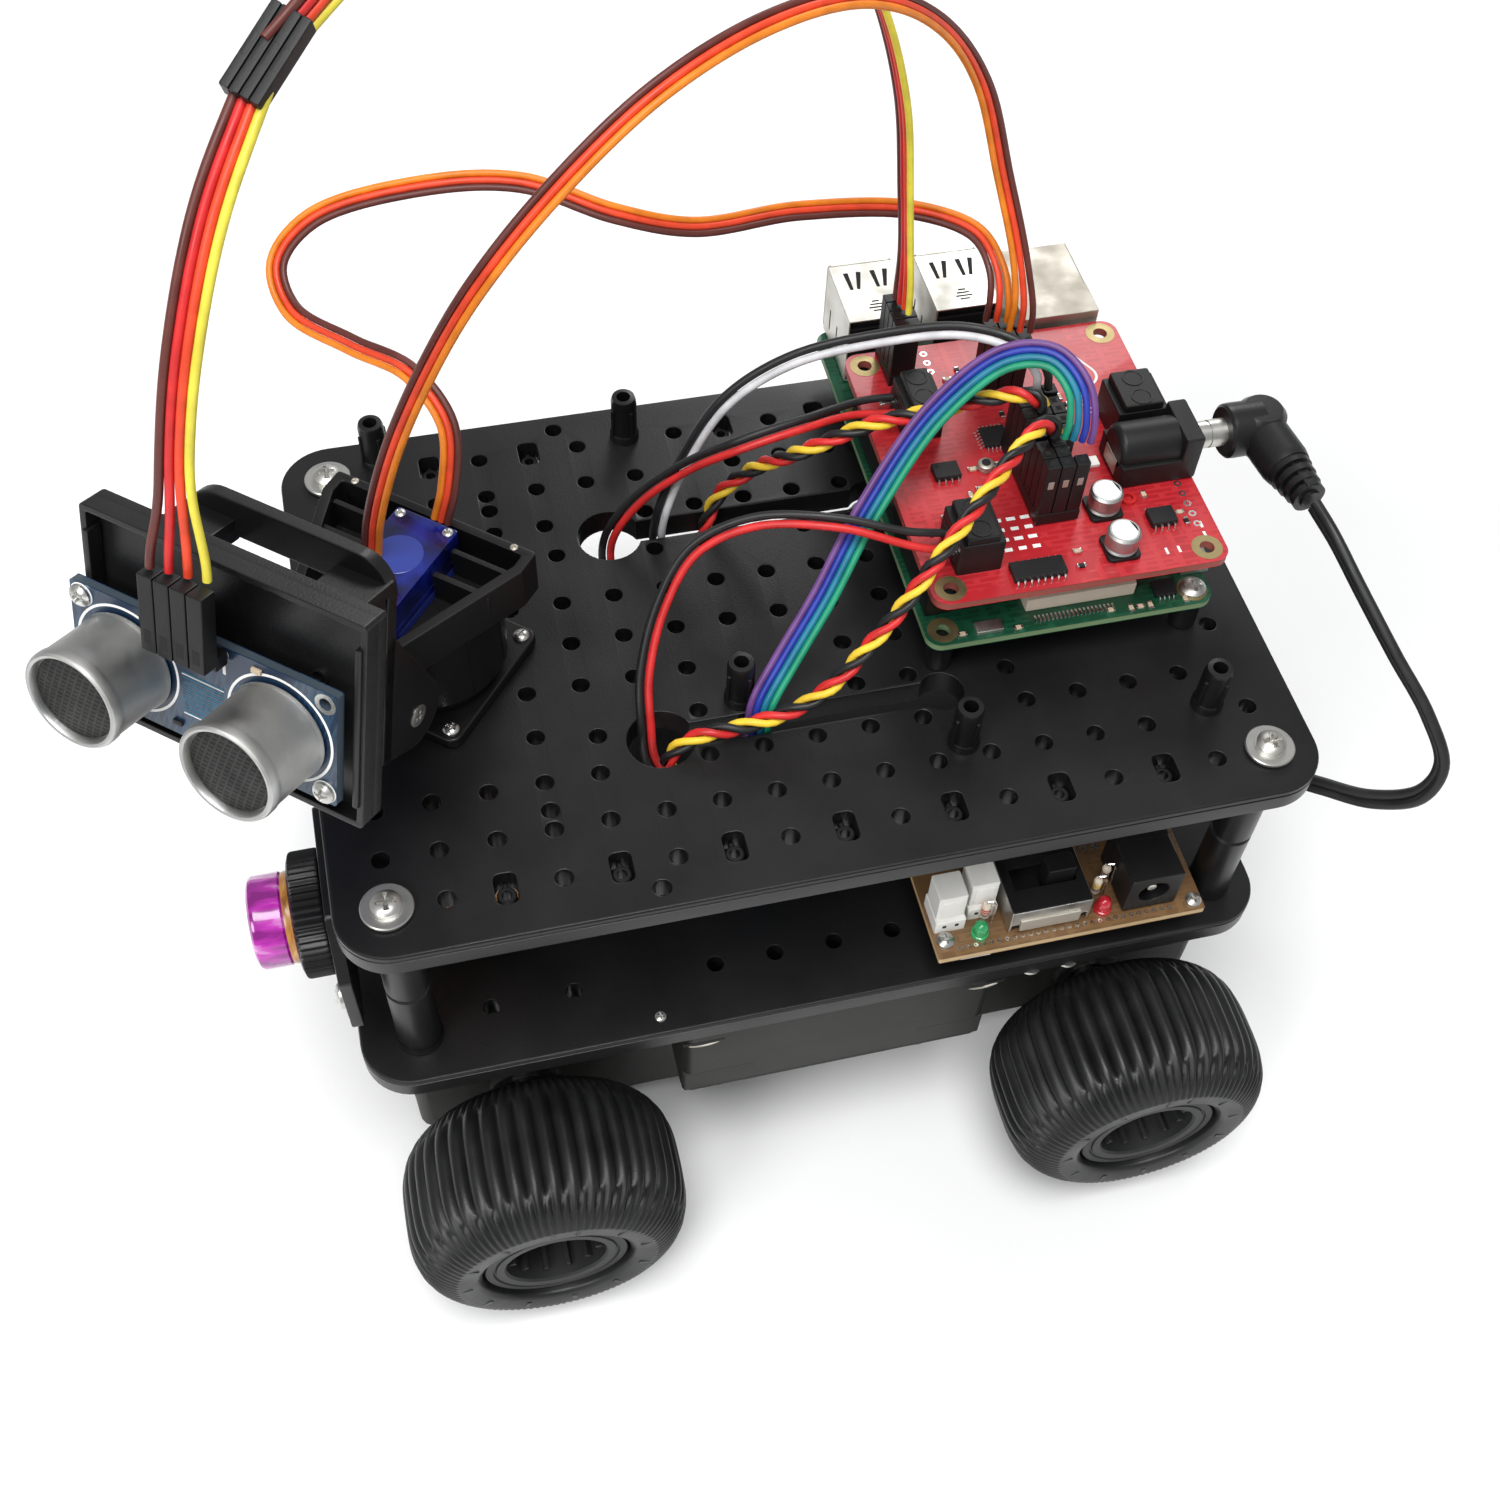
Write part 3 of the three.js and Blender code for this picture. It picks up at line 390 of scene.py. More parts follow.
WIRE = {
    "brown": sheath("wire_brown", (0.11, 0.026, 0.02)),
    "red": sheath("wire_red", (0.58, 0.022, 0.022)),
    "orange": sheath("wire_orange", (0.72, 0.2, 0.012)),
    "scarlet": sheath("wire_scarlet", (0.72, 0.06, 0.02)),
    "yellow": sheath("wire_yellow", (0.82, 0.55, 0.04)),
    "lemon": sheath("wire_lemon", (0.72, 0.62, 0.06)),
    "black": sheath("wire_black", (0.012, 0.012, 0.013)),
    "white": sheath("wire_white", (0.6, 0.6, 0.62)),
    "purple": sheath("wire_purple", (0.13, 0.05, 0.2)),
    "blue": sheath("wire_blue", (0.015, 0.035, 0.3)),
    "teal": sheath("wire_teal", (0.01, 0.16, 0.26)),
    "green": sheath("wire_green", (0.01, 0.26, 0.14)),
}


# Outlines, as counter-clockwise lists of 2D points

def arc(x, y, radius, start, end, steps):
    angles = [math.radians(start + (end - start) * k / steps) for k in range(steps + 1)]
    return [(x + radius * math.cos(a), y + radius * math.sin(a)) for a in angles]


def ring(x, y, radius, sides=24):
    return arc(x, y, radius, 0, 360, sides)[:-1]


def rect(x0, x1, y0, y1, radius=0.0, steps=4):
    if radius <= 0:
        return [(x0, y0), (x1, y0), (x1, y1), (x0, y1)]
    radius = min(radius, 0.49 * (x1 - x0), 0.49 * (y1 - y0))
    corners = [(x1 - radius, y1 - radius, 0), (x0 + radius, y1 - radius, 90)]
    corners += [(x0 + radius, y0 + radius, 180), (x1 - radius, y0 + radius, 270)]
    return [p for x, y, start in corners for p in arc(x, y, radius, start, start + 90, steps)]


def rounded(points, radius, steps=4):
    """A polygon with each corner turned into an arc."""
    made = []
    for before, here, after in zip(points[-1:] + points[:-1], points, points[1:] + points[:1]):
        here = Vector(here)
        back = (Vector(before) - here).normalized()
        on = (Vector(after) - here).normalized()
        half = back.angle(on) / 2
        reach = radius / math.tan(half)
        centre = here + (back + on).normalized() * radius / math.sin(half)
        start = here + back * reach - centre
        turn = start.angle_signed(here + on * reach - centre)
        for k in range(steps + 1):
            spoke = start.copy()
            spoke.rotate(Matrix.Rotation(-turn * k / steps, 2))
            made.append(tuple(centre + spoke))
    return made


def keyhole(x):
    """Two round holes joined by a long slot along Y."""
    front, front_radius, rear, rear_radius, half = -28, 6.2, 25, 4.2, 2.5
    a = math.degrees(math.asin(half / front_radius))
    b = math.degrees(math.asin(half / rear_radius))
    return arc(x, front, front_radius, 90 + a, 450 - a, 28) + arc(x, rear, rear_radius, -90 + b, 270 - b,
                                                                  24)


def area(loop):
    return sum(a[0] * b[1] - b[0] * a[1] for a, b in zip(loop, loop[1:] + loop[:1])) / 2


def moved_in(loop, distance):
    """The loop moved to its left by distance: into an outline, or out from a clockwise hole."""
    made = []
    for before, here, after in zip(loop[-1:] + loop[:-1], loop, loop[1:] + loop[:1]):
        first = (Vector(here) - Vector(before)).normalized()
        second = (Vector(after) - Vector(here)).normalized()
        normal = Vector((-first.y - second.y, first.x + second.x))
        normal = normal.normalized() if normal.length > 1e-6 else Vector((-first.y, first.x))
        scale = 1 / max(0.5, normal.dot(Vector((-first.y, first.x))))
        made.append((here[0] + normal.x * distance * scale, here[1] + normal.y * distance * scale))
    return made


def facing(direction, place=(0, 0, 0)):
    """The matrix that takes +Z to direction and the origin to place."""
    turn = Vector(direction).to_track_quat("Z", "Y").to_matrix().to_4x4()
    return Matrix.Translation(place) @ turn


# Where a slab drawn flat is turned: FRONT lays it across with its thickness forward, SIDE draws it in
# forward and up with its thickness to the left, RIGHT draws it in Y and down with its thickness to the
# right, and EDGE draws it in Y and up with its thickness to the left
FRONT = Matrix(((1, 0, 0, 0), (0, 0, -1, 0), (0, 1, 0, 0), (0, 0, 0, 1)))
SIDE = Matrix(((0, 0, 1, 0), (-1, 0, 0, 0), (0, 1, 0, 0), (0, 0, 0, 1)))
RIGHT = Matrix(((0, 0, -1, 0), (1, 0, 0, 0), (0, -1, 0, 0), (0, 0, 0, 1)))
EDGE = Matrix(((0, 0, 1, 0), (1, 0, 0, 0), (0, 1, 0, 0), (0, 0, 0, 1)))


def moved(x, y, z=0):
    return Matrix.Translation((x, y, z))


def band(inner, outer, low, high):
    """The profile of a plain ring, for turning."""
    return [(inner, low), (outer, low), (outer, high), (inner, high)]


class Piece:
    """Closed shapes, each with its own material, gathered in one frame and made into one object."""

    def __init__(self, at=PART):
        self.mesh = bmesh.new()
        self.at = at
        self.materials = []

    def add(self, points, faces, finish, local=None, flat=()):
        if finish not in self.materials:
            self.materials.append(finish)
        index = self.materials.index(finish)
        matrix = self.at @ local if local else self.at
        corners = [self.mesh.verts.new(matrix @ Vector(point)) for point in points]
        for number, indices in enumerate(faces):
            face = self.mesh.faces.new([corners[i] for i in indices])
            face.material_index = index
            face.smooth = number not in flat
        return self

    def slab(self, outline, holes, z0, z1, finish, soft=0.3, local=None, steps=2, profile=None,
             hole_soft=None):
        """A plate with holes. Its edge follows profile, a list of (inset, height) from top to bottom."""
        hole_soft = soft if hole_soft is None else hole_soft
        points, faces, top, bottom = [], [], [], []
        for loop, is_hole in [(outline, False)] + [(hole, True) for hole in holes]:
            if (area(loop) > 0) == is_hole:
                loop = loop[::-1]
            edge = hole_soft if is_hole else soft
            levels = profile
            if is_hole or profile is None:
                angles = [math.pi / 2 * k / steps for k in range(steps + 1)]
                upper = [(edge * (1 - math.sin(a)), z1 - edge * (1 - math.cos(a))) for a in angles]
                levels = upper + [(inset, z0 + z1 - z) for inset,
                                  z in reversed(upper)] if edge else [(0, z1), (0, z0)]
            first = len(points)
            count = len(loop)
            for inset, z in levels:
                points.extend((x, y, z) for x, y in (moved_in(loop, inset) if inset else loop))
            for level in range(len(levels) - 1):
                a, b = first + level * count, first + (level + 1) * count
                faces.extend((a + k, b + k, b + (k + 1) % count, a + (k + 1) % count) for k in range(count))
            top.append(list(range(first, first + count)))
            bottom.append(list(range(len(points) - count, len(points))))
        flat_from = len(faces)
        for rims in (top, bottom):
            if len(rims) == 1:
                faces.append(tuple(rims[0]))
                continue
            order = [i for rim in rims for i in rim]
            loops = [[Vector((*points[i][:2], 0)) for i in rim] for rim in rims]
            faces.extend(tuple(order[i] for i in triangle) for triangle in tessellate_polygon(loops))
        return self.add(points, faces, finish, local, range(flat_from, len(faces)))

    def box(self, x0, x1, y0, y1, z0, z1, finish, soft=0.25, local=None):
        soft = min(soft, 0.3 * min(x1 - x0, y1 - y0, z1 - z0))
        return self.slab(rect(x0, x1, y0, y1, soft * 1.2, 2), [], z0, z1, finish, soft, local)

    def turned(self, profile, finish, local=None, sides=32, wave=None):
        """A (radius, height) profile turned about +Z. wave(angle, radius, height) changes the radius."""
        points, faces, rings = [], [], []
        for radius, height in profile:
            if radius < 1e-6:
                rings.append([len(points)] * sides)
                points.append((0, 0, height))
                continue
            rings.append(list(range(len(points), len(points) + sides)))
            for k in range(sides):
                angle = 2 * math.pi * k / sides
                reach = radius + (wave(angle, radius, height) if wave else 0)
                points.append((reach * math.cos(angle), reach * math.sin(angle), height))
        pairs = list(zip(rings, rings[1:]))
        if profile[0][0] > 1e-6 and profile[-1][0] > 1e-6:
            pairs.append((rings[-1], rings[0]))
        for lower, upper in pairs:
            for k in range(sides):
                corners = [lower[k], lower[(k + 1) % sides], upper[(k + 1) % sides], upper[k]]
                unique = list(dict.fromkeys(corners))
                if len(unique) > 2:
                    faces.append(tuple(unique))
        return self.add(points, faces, finish, local)

    def rod(self, radius, start, end, finish, sides=24, soft=0.2):
        start, end = Vector(start), Vector(end)
        length = (end - start).length
        soft = min(soft, radius / 2, length / 3)
        inset = soft * 0.3
        profile = [(0, 0), (radius - soft, 0), (radius - inset, inset), (radius, soft)]
        profile += [(radius, length - soft), (radius - inset, length - inset), (radius - soft, length),
                    (0, length)]
        return self.turned(profile, finish, facing(end - start, start), sides)

    def tube(self, points, radius, finish, sides=8, local=None):
        """A round tube along points, closed at both ends."""
        line = [Vector(p) for p in points]
        side = (line[1] - line[0]).orthogonal().normalized()
        corners, faces = [], []
        for k, here in enumerate(line):
            tangent = (line[min(k + 1, len(line) - 1)] - line[max(k - 1, 0)]).normalized()
            side = (side - tangent * side.dot(tangent)).normalized()
            other = tangent.cross(side)
            for s in range(sides):
                angle = 2 * math.pi * s / sides
                corners.append(here + (side * math.cos(angle) + other * math.sin(angle)) * radius)
        for k in range(len(line) - 1):
            a, b = k * sides, (k + 1) * sides
            faces.extend((a + s, a + (s + 1) % sides, b + (s + 1) % sides, b + s) for s in range(sides))
        faces.append(tuple(range(sides - 1, -1, -1)))
        faces.append(tuple(range(len(corners) - sides, len(corners))))
        return self.add(corners, faces, finish, local)

    def screw(self, place, towards, radius, height, finish=STEEL, sides=40):
        """A domed head with a cross recess."""
        rims = [0.16, 0.3, 0.44, 0.56, 0.66, 0.78, 0.9, 1.0]
        points = [(0, 0, height * 0.55)]
        for rim in rims:
            for k in range(sides):
                angle = 2 * math.pi * k / sides
                x, y = rim * math.cos(angle), rim * math.sin(angle)
                top = height * (1 - 0.55 * rim ** 3)
                if rim < 0.6 and min(abs(x), abs(y)) < 0.13:
                    top = height * (0.45 + 0.3 * rim)
                points.append((x * radius, y * radius, top))
        base = len(points)
        points.extend((p[0], p[1], 0) for p in points[-sides:])
        faces = [(0, 1 + k, 1 + (k + 1) % sides) for k in range(sides)]
        for level in range(len(rims)):
            a, b = 1 + level * sides, 1 + (level + 1) * sides
            faces.extend((a + k, b + k, b + (k + 1) % sides, a + (k + 1) % sides) for k in range(sides))
        faces.append(tuple(range(base, base + sides)))
        return self.add(points, faces, finish, facing(towards, place))

    def make(self, name, body=None, replaces=(), crease=34, smooth=True):
        bmesh.ops.recalc_face_normals(self.mesh, faces=self.mesh.faces)
        mesh = bpy.data.meshes.new(name)
        self.mesh.to_mesh(mesh)
        self.mesh.free()
        for finish in self.materials:
            mesh.materials.append(finish)
        mesh.set_sharp_from_angle(angle=math.radians(crease))
        made = bpy.data.objects.new(name, mesh)
        bpy.context.scene.collection.objects.link(made)
        if smooth:
            weighted = made.modifiers.new("weighted_normals", "WEIGHTED_NORMAL")
            weighted.keep_sharp = True
        if body:
            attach(made, body)
        if replaces:
            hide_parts(*replaces)
        return made


def dress(node, finish):
    """Gives a CAD node that stays in view its finish."""
    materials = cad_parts[node].data.materials
    materials.clear()
    materials.append(finish)


# Leads. Their routes are in metres, in the part's frame.

ROUTES = {
    "sonar_lead_front": [
        (0.0424, -0.0958, 0.1943), (0.041, -0.0944, 0.201), (0.0392, -0.0922, 0.212),
        (0.036, -0.088, 0.226), (0.029, -0.0815, 0.24), (0.0173, -0.0724, 0.2508),
    ],
    "sonar_lead_rear": [
        (0.0162, -0.071, 0.2515), (0.003, -0.055, 0.258), (-0.012, -0.035, 0.259), (-0.026, -0.012, 0.251),
        (-0.036, 0.008, 0.235), (-0.041, 0.021, 0.214), (-0.043, 0.0285, 0.192), (-0.042, 0.031, 0.172),
        (-0.0396, 0.0318, 0.158), (-0.0386, 0.0318, 0.1494),
    ],
    "pan_servo_lead": [
        (0.0019, -0.0724, 0.148), (0.0022, -0.071, 0.156), (0.0028, -0.066, 0.172), (0.004, -0.058, 0.19),
        (0.005, -0.05, 0.204), (0.002, -0.038, 0.216), (-0.005, -0.022, 0.225), (-0.014, -0.004, 0.228),
        (-0.024, 0.014, 0.224), (-0.033, 0.03, 0.212), (-0.038, 0.041, 0.196), (-0.037, 0.047, 0.178),
        (-0.0315, 0.0505, 0.164), (-0.028, 0.0516, 0.155), (-0.0276, 0.0516, 0.1494),
    ],
    "tilt_servo_lead": [
        (-0.0023, -0.0602, 0.1486), (-0.004, -0.058, 0.155), (-0.01, -0.0565, 0.163),
        (-0.018, -0.061, 0.168), (-0.028, -0.07, 0.167), (-0.0386, -0.079, 0.167), (-0.046, -0.08, 0.171),
        (-0.0502, -0.073, 0.176), (-0.0502, -0.054, 0.18), (-0.048, -0.037, 0.18), (-0.042, -0.022, 0.176),
        (-0.042, -0.008, 0.171), (-0.0489, 0.0136, 0.166), (-0.05, 0.036, 0.162), (-0.042, 0.046, 0.1615),
        (-0.0344, 0.048, 0.1585), (-0.0314, 0.0481, 0.154), (-0.0312, 0.0481, 0.1494),
    ],
    "motor_lead_left": [
        (0.0102, 0.0275, 0.1375), (0.0094, 0.021, 0.1388), (0.0054, 0.008, 0.1416),
        (0.0005, -0.006, 0.1395), (0.001, -0.017, 0.135), (0.007, -0.0243, 0.128), (0.0155, -0.029, 0.12),
        (0.0215, -0.03, 0.113), (0.0233, -0.0295, 0.104), (0.024, -0.024, 0.092), (0.024, -0.018, 0.08),
        (0.024, -0.018, 0.068), (0.024, -0.022, 0.057), (0.023, -0.036, 0.048), (0.02, -0.05, 0.0425),
        (0.017, -0.056, 0.04),
    ],
    "motor_lead_right": [
        (-0.025, 0.0274, 0.1375), (-0.0245, 0.02, 0.1385), (-0.02, 0.008, 0.141), (-0.019, -0.004, 0.139),
        (-0.024, -0.013, 0.13), (-0.026, -0.022, 0.121), (-0.0255, -0.028, 0.112),
        (-0.025, -0.0285, 0.103), (-0.025, -0.024, 0.092), (-0.025, -0.019, 0.08), (-0.025, -0.019, 0.068),
        (-0.025, -0.023, 0.057), (-0.024, -0.037, 0.048), (-0.02, -0.05, 0.0425), (-0.017, -0.056, 0.04),
    ],
    "proximity_lead": [
        (-0.0006, 0.0494, 0.1494), (-0.0005, 0.0488, 0.1518), (0.0016, 0.0454, 0.1546),
        (0.0068, 0.039, 0.1544), (0.0138, 0.0305, 0.151), (0.0204, 0.0215, 0.145), (0.0246, 0.012, 0.134),
        (0.0284, -0.001, 0.122), (0.0286, -0.013, 0.1178), (0.0282, -0.0215, 0.1165),
        (0.028, -0.0268, 0.112), (0.028, -0.0275, 0.104), (0.03, -0.032, 0.0975), (0.033, -0.042, 0.0925),
        (0.0346, -0.051, 0.0912), (0.0346, -0.0564, 0.091),
    ],
    "sense_lead": [
        (-0.0075, 0.0492, 0.1494), (-0.0077, 0.0486, 0.1512), (-0.009, 0.0452, 0.152),
        (-0.0114, 0.0392, 0.1496), (-0.0134, 0.031, 0.1464), (-0.0153, 0.02, 0.1433),
        (-0.018, 0.008, 0.136), (-0.0245, 0.0, 0.126), (-0.0264, -0.006, 0.118), (-0.0252, -0.009, 0.11),
        (-0.025, -0.0095, 0.1), (-0.025, -0.0095, 0.084), (-0.025, -0.0095, 0.068),
        (-0.022, -0.007, 0.054), (-0.016, -0.003, 0.043), (-0.012, 0.0, 0.0396),
    ],
    "ribbon_lead": [
        (0.0016, 0.0529, 0.1494), (0.0012, 0.0532, 0.153), (-0.0024, 0.053, 0.158),
        (-0.0084, 0.0496, 0.1606), (-0.0114, 0.042, 0.159), (-0.008, 0.029, 0.1515), (0.002, 0.015, 0.14),
        (0.012, 0.0045, 0.1295), (0.019, -0.0036, 0.1225), (0.0238, -0.0089, 0.1175),
        (0.025, -0.01, 0.112), (0.025, -0.01, 0.102), (0.025, -0.009, 0.088), (0.025, -0.008, 0.074),
        (0.024, -0.008, 0.062), (0.018, -0.008, 0.05), (0.01, -0.008, 0.041), (0.006, -0.006, 0.0398),
    ],
    "supply_lead": [
        (-0.012, 0.0508, 0.1494), (-0.0127, 0.0504, 0.1528), (-0.017, 0.0466, 0.156),
        (-0.0226, 0.038, 0.1562), (-0.0274, 0.024, 0.1526), (-0.0292, 0.008, 0.1485),
        (-0.029, -0.004, 0.141), (-0.0278, -0.012, 0.129), (-0.0248, -0.0175, 0.118),
        (-0.0248, -0.0185, 0.109), (-0.025, -0.0155, 0.098), (-0.025, -0.0143, 0.084),
        (-0.025, -0.0143, 0.068), (-0.023, -0.014, 0.054), (-0.016, -0.016, 0.043),
        (-0.012, -0.018, 0.0398),
    ],
    "power_cord": [
        (0.0168, 0.0952, 0.1395), (0.0235, 0.0965, 0.138), (0.033, 0.0994, 0.133),
        (0.0435, 0.1034, 0.1265), (0.053, 0.108, 0.1195), (0.0595, 0.1105, 0.112),
        (0.0605, 0.1085, 0.1045), (0.056, 0.103, 0.098), (0.048, 0.097, 0.093), (0.0405, 0.091, 0.0885),
        (0.038, 0.083, 0.0835), (0.0376, 0.075, 0.0795), (0.0378, 0.0685, 0.0774), (0.04, 0.0638, 0.077),
        (0.0435, 0.063, 0.077),
    ],
}

# Each lead: its wires, their radius and spacing in metres, how far they spread at each end, how many metres
# one full twist takes (0 lies flat), the bodies it joins and which way its flat face looks
FOUR = ["brown", "red", "scarlet", "lemon"]
THREE = ["orange", "scarlet", "brown"]
TWIST = ["yellow", "red", "black"]
OUTWARD = Vector((0.55, -0.16, 0.82))
SIDEWAYS = Vector((-0.2, 0.9, 0.4))
BACKWARD = Vector((0.1, 1, 0.1))
LEADS = {
    "sonar_lead_front": (FOUR, 0.00064, 0.0013, (2, 0.9), 0, ("sonar_head", "pan_head"), OUTWARD),
    "sonar_lead_rear": (FOUR, 0.00064, 0.0013, (0.9, 1.4), 0, ("pan_head", "chassis"), SIDEWAYS),
    "pan_servo_lead": (THREE[::-1], 0.00062, 0.00122, (1, 1.6), 0, ("pan_head", "chassis"), OUTWARD),
    "tilt_servo_lead": (THREE, 0.00062, 0.00122, (1, 1.6), 0, ("pan_head", "chassis"), OUTWARD),
    "motor_lead_left": (["red", "black"], 0.00078, 0.0017, (1.8, 1), 0, None, OUTWARD),
    "motor_lead_right": (["red", "black"], 0.00078, 0.0017, (1.8, 1), 0, None, OUTWARD),
    "proximity_lead": (TWIST, 0.0007, 0.0016, (1, 1), 0.0125, None, OUTWARD),
    "sense_lead": (TWIST, 0.0007, 0.0016, (1, 1), 0.0125, None, OUTWARD),
    "ribbon_lead": (["green", "teal", "blue", "purple"], 0.00068, 0.00128, (1.2, 1), 0, None, OUTWARD),
    "supply_lead": (["white", "black"], 0.00078, 0.0017, (1.2, 1), 0, None, OUTWARD),
    "power_cord": (["black", "black"], 0.00105, 0.0018, (1, 1), 0, None, BACKWARD),
}
SPREAD_LENGTH = 0.009
ROUTE_STEP = 0.0013


def smooth_route(points, step):
    """The centripetal Catmull-Rom line through points."""
    ends = [2 * points[0] - points[1]], [2 * points[-1] - points[-2]]
    padded = ends[0] + points + ends[1]
    line = []
    for a, b, c, d in zip(padded, padded[1:], padded[2:], padded[3:]):
        t0, t1, t2 = (math.sqrt((q - p).length) for p, q in ((a, b), (b, c), (c, d)))
        m1 = ((b - a) / t0 - (c - a) / (t0 + t1) + (c - b) / t1) * t1
        m2 = ((c - b) / t1 - (d - b) / (t1 + t2) + (d - c) / t2) * t1
        count = max(2, round((c - b).length / step))
        for k in range(count):
            t = k / count
            line.append(
                (2 * t ** 3 - 3 * t * t + 1) * b + (t ** 3 - 2 * t * t + t) * m1
                + (3 * t * t - 2 * t ** 3) * c + (t ** 3 - t * t) * m2
            )
    line.append(points[-1])
    return line


def sides_of(line, face):
    """For each point, the unit vector across a flat lead that keeps its face turned outward."""
    sides = []
    for k in range(len(line)):
        tangent = (line[min(k + 1, len(line) - 1)] - line[max(k - 1, 0)]).normalized()
        side = tangent.cross(face)
        if sides and (side.length < 0.35 or side.normalized().dot(sides[-1]) < 0.9):
            kept = sides[-1] - tangent * sides[-1].dot(tangent)
            side = kept * 0.94 + side * (0.06 if side.dot(kept) > 0 else 0)
        sides.append(side.normalized())
    return sides


def add_leads():
    made = {}
    for name, (wires, radius, spacing, (first, last), twist, bodies, face) in LEADS.items():
        line = smooth_route([Vector(p) + Vector((0, SHIFT, 0)) for p in ROUTES[name]], ROUTE_STEP)
        lengths = [0.0]
        for a, b in zip(line, line[1:]):
            lengths.append(lengths[-1] + (b - a).length)
        total = lengths[-1]
        sides = sides_of(line, face)
        piece = Piece(Matrix.Identity(4))
        for number, wire in enumerate(wires):
            path = []
            for k, here in enumerate(line):
                start, end = lengths[k], total - lengths[k]
                spread = 1 + (first - 1) * math.exp(-(start / SPREAD_LENGTH) ** 2)
                spread += (last - 1) * math.exp(-(end / SPREAD_LENGTH) ** 2)
                tangent = (line[min(k + 1, len(line) - 1)] - line[max(k - 1, 0)]).normalized()
                across, over = sides[k], tangent.cross(sides[k])
                if twist:
                    angle = 2 * math.pi * (start / twist + number / len(wires))
                    offset = (across * math.cos(angle) + over * math.sin(angle)) * spacing / math.sqrt(3)
                else:
                    offset = across * (number - (len(wires) - 1) / 2) * spacing * spread
                path.append(here + offset)
            piece.tube(path, radius, WIRE[wire], 10)
        lead = piece.make(name + "_wires", None, [name], crease=60, smooth=False)
        if bodies:
            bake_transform(lead)
        else:
            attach(lead, "chassis")
        width = 4.4 * radius if twist else spacing * (len(wires) - 1) + 2 * radius
        made[name] = (lead, line, total, width)
    return made


def add_lead_joint(leads):
    """The small four-way housing in which the sonar's two leads meet."""
    front, rear = leads["sonar_lead_front"][1], leads["sonar_lead_rear"][1]
    along = (rear[3] - front[-4]).normalized()
    across = sides_of(front, OUTWARD)[-1]
    over = along.cross(across).normalized()
    across = over.cross(along)
    middle = (front[-1] + rear[0]) / 2
    turn = Matrix((across, over, along)).transposed().to_4x4()
    joint = Piece(Matrix.Translation(middle) @ turn @ Matrix.Diagonal((MM, MM, MM, 1)))
    for k in range(4):
        x = -2.7 + 1.36 * k
        joint.box(x, x + 1.3, -1.4, 1.4, -6, 6, HOUSING, 0.2)
        joint.box(x + 0.3, x + 1, -1.45, 1.45, -1.6, 1.6, HOUSING, 0.1)
    joint.make("sonar_lead_joint", "pan_head")


# Decks and posts

def deck_holes():
    columns = {
        50: range(-70, 71, 20), 40: range(-80, 81, 10), 30: [*range(-80, -39, 10), *range(-20, 71, 10)],
        20: [-50, -20, -10, 10, 20, 80], 22: [-39, 38.5], 36: [-50], 55.5: [-34],
        10: range(-50, 81, 10), 0: range(-50, 81, 10),
    }
    places = [(sign * x, y) for x, ys in columns.items() for y in ys for sign in ((1, -1) if x else (1,))]
    return [p for p in places if clear_of_pillars(p)]


def clear_of_pillars(place):
    return all(math.dist(place, pillar) > 5 for pillar in PILLARS)


def plate_edge(bottom, top, lip):
    """The deck's edge in section: a soft top corner, the fine groove under its lip, and a soft bottom."""
    return [
        (0.6, top), (0.25, top - 0.1), (0.05, top - 0.35), (0, top - lip), (0.4, top - lip - 0.12),
        (0.4, top - lip - 0.42), (0, top - lip - 0.55), (0, bottom + 0.5), (0.15, bottom + 0.15),
        (0.55, bottom),
    ]


